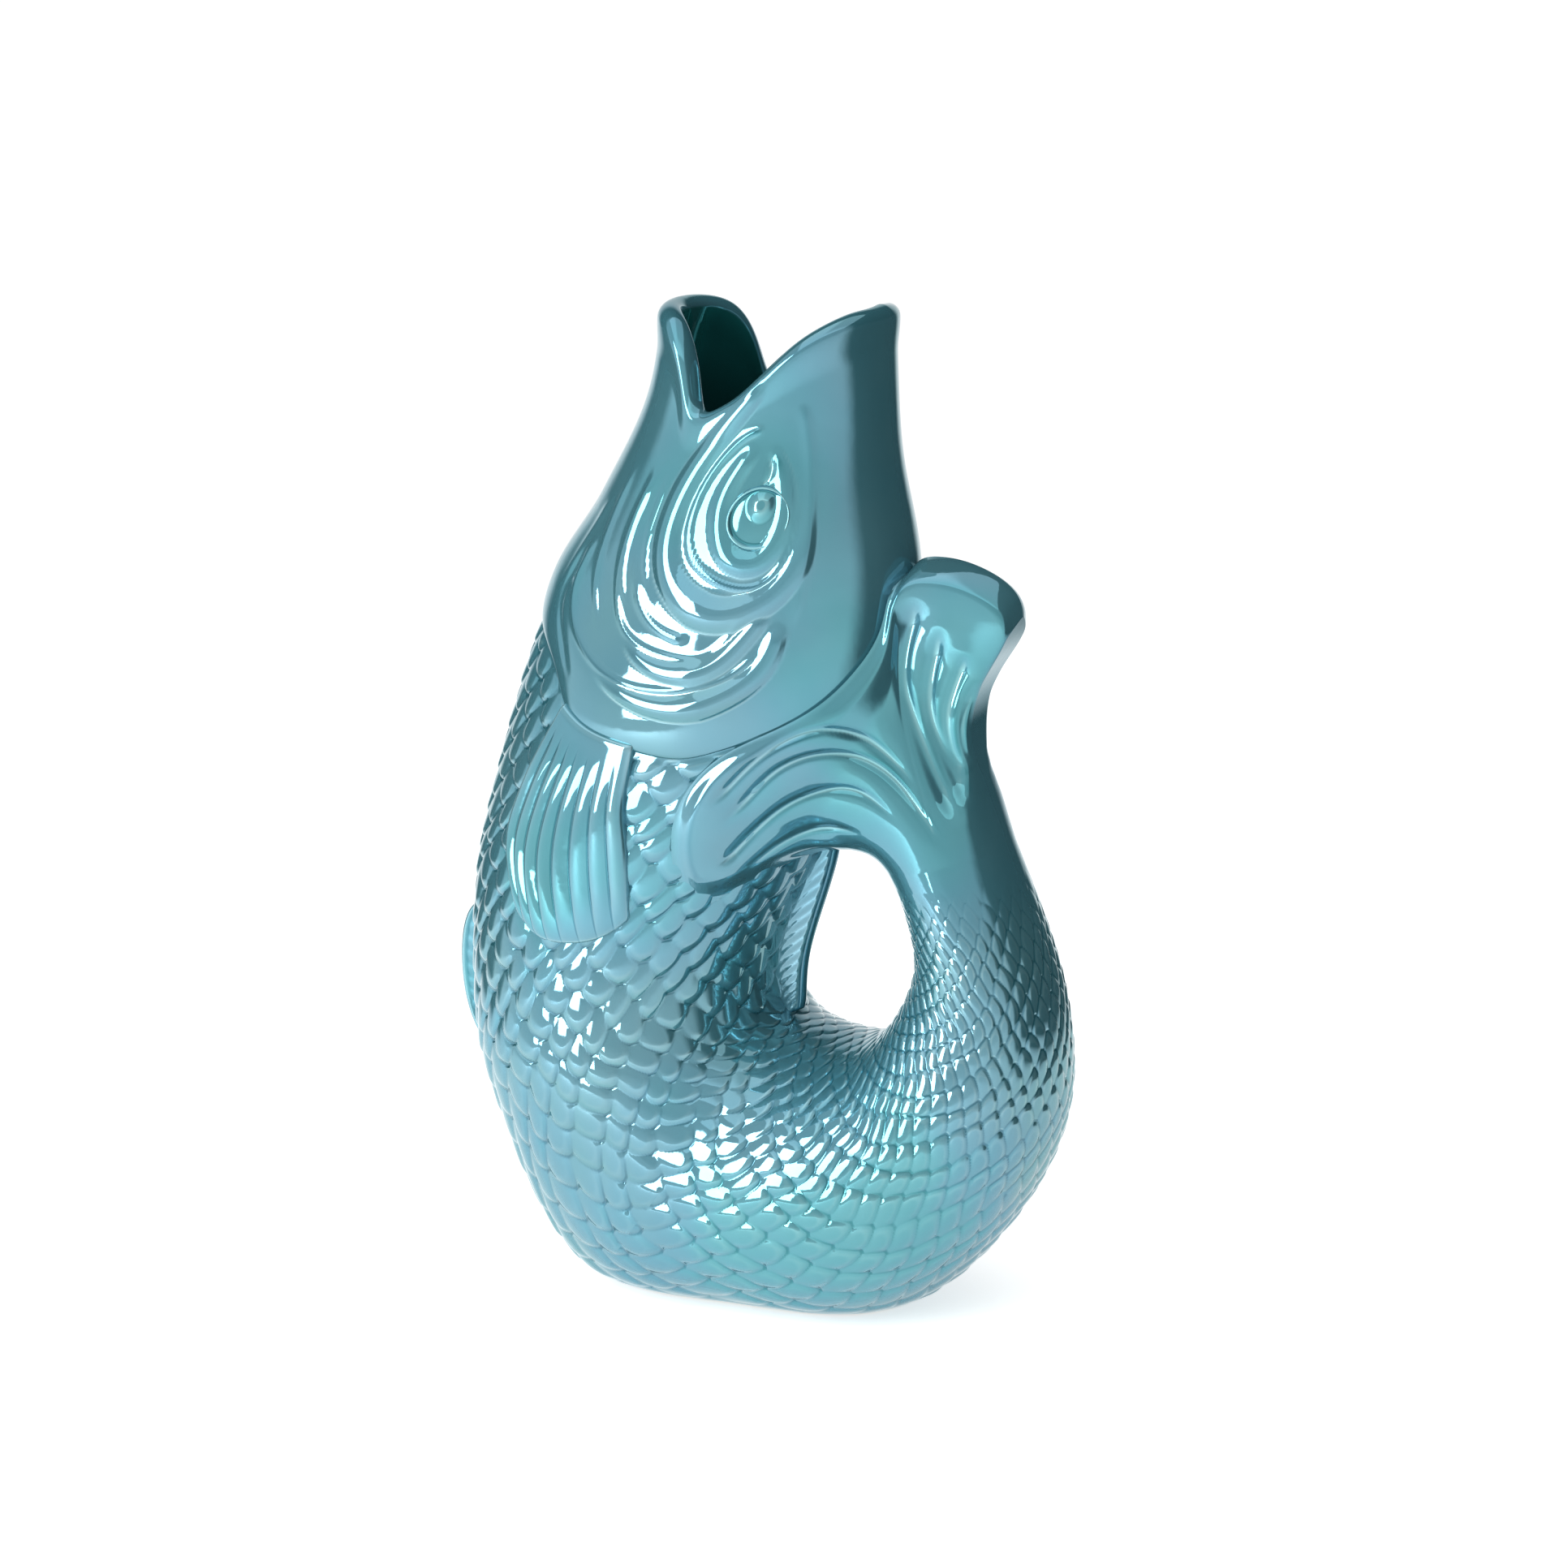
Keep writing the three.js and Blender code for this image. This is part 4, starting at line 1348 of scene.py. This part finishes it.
@dataclass
class ThinFin:
    """Thin fin in the middle plane, standing on the back or the belly between two sections."""

    fish: Fish
    name: str
    node: str
    ends: Pair
    angle: float
    height: float
    root: float = 3.4
    edge: float = 2.0
    buried: float = 1.0
    edge_round: float = 1.1
    end_slope: float = 3.0
    least_half: float = 0.02
    # Bead behind the edge: its height, its distance from the edge and its half width
    bead: tuple[float, float, float] = (0.5, 1.1, 0.8)
    rays: int = 15
    ray_height: float = 0.04
    ray_slant: float = 2.0
    ray_edge: Pair = (1.5, 3.0)
    ray_root: Pair = (0.5, 2.0)
    arch: Pair = (0.04, 0.96)
    lean: float = 1.0
    rows: int = 60
    columns: int = 220

    def build(self, workshop: Workshop) -> Piece:
        """Presses the fin: its thickness tapers to a rounded edge with a bead, and slanted rays cross it.

        Args:
            workshop: where it is fired.

        Returns:
            The piece.
        """
        share = np.linspace(0.0, 1.0, self.columns)[None]
        along = np.linspace(0.0, 1.0, self.rows)[:, None]
        share, along = np.broadcast_arrays(share, along)
        rise = self.height * np.sqrt(np.sin(np.pi * mix(*self.arch, share**self.lean)))
        lift = mix(-self.buried, rise, along)
        point = self.fish.skin(mix(*self.ends, share), self.angle, lift)
        from_edge = (1.0 - along) * (rise + self.buried)
        half = mix(self.root, self.edge, along) / 2.0
        half = half + self.bead[0] * np.exp(-(((from_edge - self.bead[1]) / self.bead[2]) ** 2))
        wave = np.sin(2.0 * np.pi * (self.rays * share + self.ray_slant * along))
        wave = wave * smooth(from_edge, *self.ray_edge) * smooth(lift, *self.ray_root)
        half = half + self.ray_height * wave
        border = np.minimum(from_edge, self.height * self.end_slope * np.minimum(share, 1.0 - share))
        inward = 1.0 - np.clip(border / self.edge_round, 0.0, 1.0)
        half = half * np.sqrt(1.0 - inward**2) + self.least_half
        near, far = point.copy(), point.copy()
        near[..., 1], far[..., 1] = -half, half
        return workshop.press(self.name, self.node, Sheet(near, False), Sheet(far, False))


@dataclass(frozen=True)
class Lamp:
    """Soft box of an even glow: its direction in degrees, distance and size in metres, and glow."""

    name: str
    azimuth: float
    elevation: float
    distance: float
    size: Pair
    glow: float


@dataclass
class Studio:
    """White table, soft lamps and the camera."""

    lamps: tuple[Lamp, ...] = (
        Lamp("key_softbox", -24.0, 21.0, 0.75, (0.32, 0.56), 9.0),
        Lamp("top_softbox", 30.0, 75.0, 0.9, (1.1, 1.1), 0.9),
    )
    lamp_aim: tuple[float, float, float] = (0.0, 0.0, 0.1)

    azimuth: float = 24.2
    elevation: float = 13.7
    distance: float = 1.2
    target: tuple[float, float, float] = (0.0, 0.0, 0.13)
    sensor: float = 36.0
    image: float = 1932.0
    focal_pixels: float = 5674.2
    target_pixel: Pair = (942.0, 995.2)
    table: float = 30.0
    white: Colour = (0.86, 0.86, 0.86)
    gloom: Colour = (0.02, 0.03, 0.035)
    # Spans of the share facing the camera over which the sides turn dark, and the backdrop light again
    right_side: Pair = (0.72, 0.46)
    left_side: Pair = (-0.2, -0.4)
    backdrop: Pair = (-0.92, -0.75)
    table_edge: Pair = (0.3, 0.6)
    middle: Pair = (-0.1, 0.1)
    table_glow: float = 0.62
    # What a gloss shows above the horizon, the heights over which it turns so, and the room's own light
    haze: Colour = (0.72, 0.74, 0.75)
    haze_rise: Pair = (0.0, 0.25)
    light: Colour = (0.5, 0.5, 0.5)

    @staticmethod
    def towards(azimuth: float, elevation: float) -> Vector:
        """Unit direction from the object, with azimuth 0 at -Y and growing towards +X."""
        turn, rise = np.radians(azimuth), np.radians(elevation)
        return Vector((np.sin(turn) * np.cos(rise), -np.cos(turn) * np.cos(rise), np.sin(rise)))

    def camera(self, shift: float) -> None:
        """Places the camera at the photograph's angle.

        Args:
            shift: how far the CAD part was moved along X to centre it, in metres.
        """
        lens = bpy.data.cameras.new("camera")
        lens.sensor_width = self.sensor
        lens.lens = self.sensor * self.focal_pixels / self.image
        lens.shift_x = 0.5 - self.target_pixel[0] / self.image
        lens.shift_y = self.target_pixel[1] / self.image - 0.5
        camera = bpy.data.objects.new("camera", lens)
        back = self.towards(self.azimuth, self.elevation)
        camera.location = Vector(self.target) + Vector((shift, 0.0, 0.0)) + back * self.distance
        camera.rotation_euler = (-back).to_track_quat("-Z", "Y").to_euler()
        bpy.context.scene.collection.objects.link(camera)
        bpy.context.scene.camera = camera

    def hang(self, lamp: Lamp) -> None:
        """Hangs a lamp, whose power is its glow times pi times its area."""
        light = bpy.data.lights.new(lamp.name, "AREA")
        light.shape = "RECTANGLE"
        light.size, light.size_y = lamp.size
        light.energy = lamp.glow * np.pi * lamp.size[0] * lamp.size[1]
        hung = bpy.data.objects.new(lamp.name, light)
        back = self.towards(lamp.azimuth, lamp.elevation)
        hung.location = Vector(self.lamp_aim) + back * lamp.distance
        hung.rotation_euler = (-back).to_track_quat("-Z", "Y").to_euler()
        bpy.context.scene.collection.objects.link(hung)

    def floor(self) -> None:
        """Lays the table, white with the object's shadow. A gloss shows its far sides dark."""
        half = self.table / 2.0
        mesh = bpy.data.meshes.new("table")
        corners = [(-half, -half, 0.0), (half, -half, 0.0), (half, half, 0.0), (-half, half, 0.0)]
        mesh.from_pydata(corners, [], [(0, 1, 2, 3)])
        material = bpy.data.materials.new("white_table")
        material.use_nodes = True
        wires = Wires(material.node_tree)
        path = wires.add("ShaderNodeLightPath").outputs
        rays = {0: path["Is Camera Ray"], 1: path["Is Glossy Ray"]}
        seen = wires.add("ShaderNodeMath", rays, operation="MAXIMUM").outputs[0]
        matt = wires.add("ShaderNodeBsdfDiffuse", {"Color": (*self.white, 1.0)})
        lit = wires.add("ShaderNodeEmission", {"Strength": wires.times(seen, self.table_glow)})
        both = wires.add("ShaderNodeAddShader", {0: matt.outputs[0], 1: lit.outputs[0]})
        place = wires.add("ShaderNodeTexCoord").outputs["Object"]
        way = wires.add("ShaderNodeVectorMath", {0: place}, operation="NORMALIZE").outputs["Vector"]
        length = wires.add("ShaderNodeVectorMath", {0: place}, operation="LENGTH").outputs["Value"]
        far = wires.times(self.dark_side(wires, way), wires.span(length, *self.table_edge))
        dark = wires.add("ShaderNodeEmission", {"Color": (*self.gloom, 1.0)})
        share = wires.times(far, path["Is Glossy Ray"])
        whole = wires.add("ShaderNodeMixShader", {0: share, 1: both.outputs[0], 2: dark.outputs[0]})
        wires.add("ShaderNodeOutputMaterial", {"Surface": whole.outputs[0]})
        mesh.materials.append(material)
        table = bpy.data.objects.new("table", mesh)
        bpy.context.scene.collection.objects.link(table)

    def dark_side(self, wires: Wires, way: Socket) -> Socket:
        """How far a direction points at the unlit sides of the studio. The right one is wider."""
        front, right = self.towards(self.azimuth, 0.0), self.towards(self.azimuth + 90.0, 0.0)
        facing = wires.dot(way, front)
        near = wires.span(facing, *self.right_side)
        left = wires.span(facing, *self.left_side)
        rightward = wires.span(wires.dot(way, right), *self.middle)
        side = wires.add("ShaderNodeMix", {0: rightward, 2: left, 3: near}).outputs[0]
        return wires.times(side, wires.span(facing, *self.backdrop))

    def room(self) -> None:
        """Lights the room evenly. A gloss shows its sides darker, and the camera sees white."""
        world = bpy.data.worlds.new("studio")
        bpy.context.scene.world = world
        world.use_nodes = True
        wires = Wires(world.node_tree)
        way = wires.add("ShaderNodeTexCoord").outputs["Generated"]
        rise = wires.add("ShaderNodeSeparateXYZ", {0: way}).outputs["Z"]
        haze = wires.blend(wires.span(rise, *self.haze_rise), (1.0, 1.0, 1.0), self.haze)
        shown = wires.blend(self.dark_side(wires, way), haze, self.gloom)
        path = wires.add("ShaderNodeLightPath").outputs
        soft = wires.blend(path["Is Glossy Ray"], self.light, shown)
        seen = wires.blend(path["Is Camera Ray"], soft, (1.0, 1.0, 1.0))
        light = wires.add("ShaderNodeBackground", {"Color": seen, "Strength": 1.0})
        wires.add("ShaderNodeOutputWorld", {"Surface": light.outputs[0]})

    def build(self, shift: float) -> None:
        """Sets up the whole studio.

        Args:
            shift: how far the CAD part was moved along X to centre it, in metres.
        """
        self.camera(shift)
        self.floor()
        self.room()
        for lamp in self.lamps:
            self.hang(lamp)
        bpy.context.scene.view_settings.view_transform = "Standard"


def main() -> None:
    """Loads the frame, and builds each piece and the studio."""
    logging.basicConfig(level=logging.INFO, format="%(name)s %(message)s")
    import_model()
    fish = Fish()
    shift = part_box("tail_casting")[1].x / MM - fish.handle_reach()
    workshop = Workshop(shift, Glaze().material())
    scales = Scales()
    fin = TailFin(fish)
    pieces = (
        HeadCasting(fish),
        BodyCasting(fish, scales, "breast", (None, fish.breast_end)),
        BodyCasting(fish, scales, "belly", (fish.breast_end, fish.belly_end)),
        BodyCasting(fish, scales, "foot", (fish.belly_end, fish.tail_joint)),
        TailCasting(fish, scales, fin),
        fin,
        ThinFin(fish, "back_fin", "dorsal_fin", ends=(5.7, 8.2), angle=np.pi, height=9.0),
        ThinFin(fish, "front_fin", "belly_fin", ends=(6.3, 7.85), angle=0.0, height=11.0, lean=0.6),
        BreastFin(fish, 1.0, "left_fin", "breast_fin_left"),
        BreastFin(fish, -1.0, "right_fin", "breast_fin_right"),
        Eye(fish, 1.0, "left_eye", "eye_left"),
        Eye(fish, -1.0, "right_eye", "eye_right"),
    )
    for piece in pieces:
        piece.build(workshop)
    Studio().build(shift * MM)


if __name__ == "__main__":
    main()
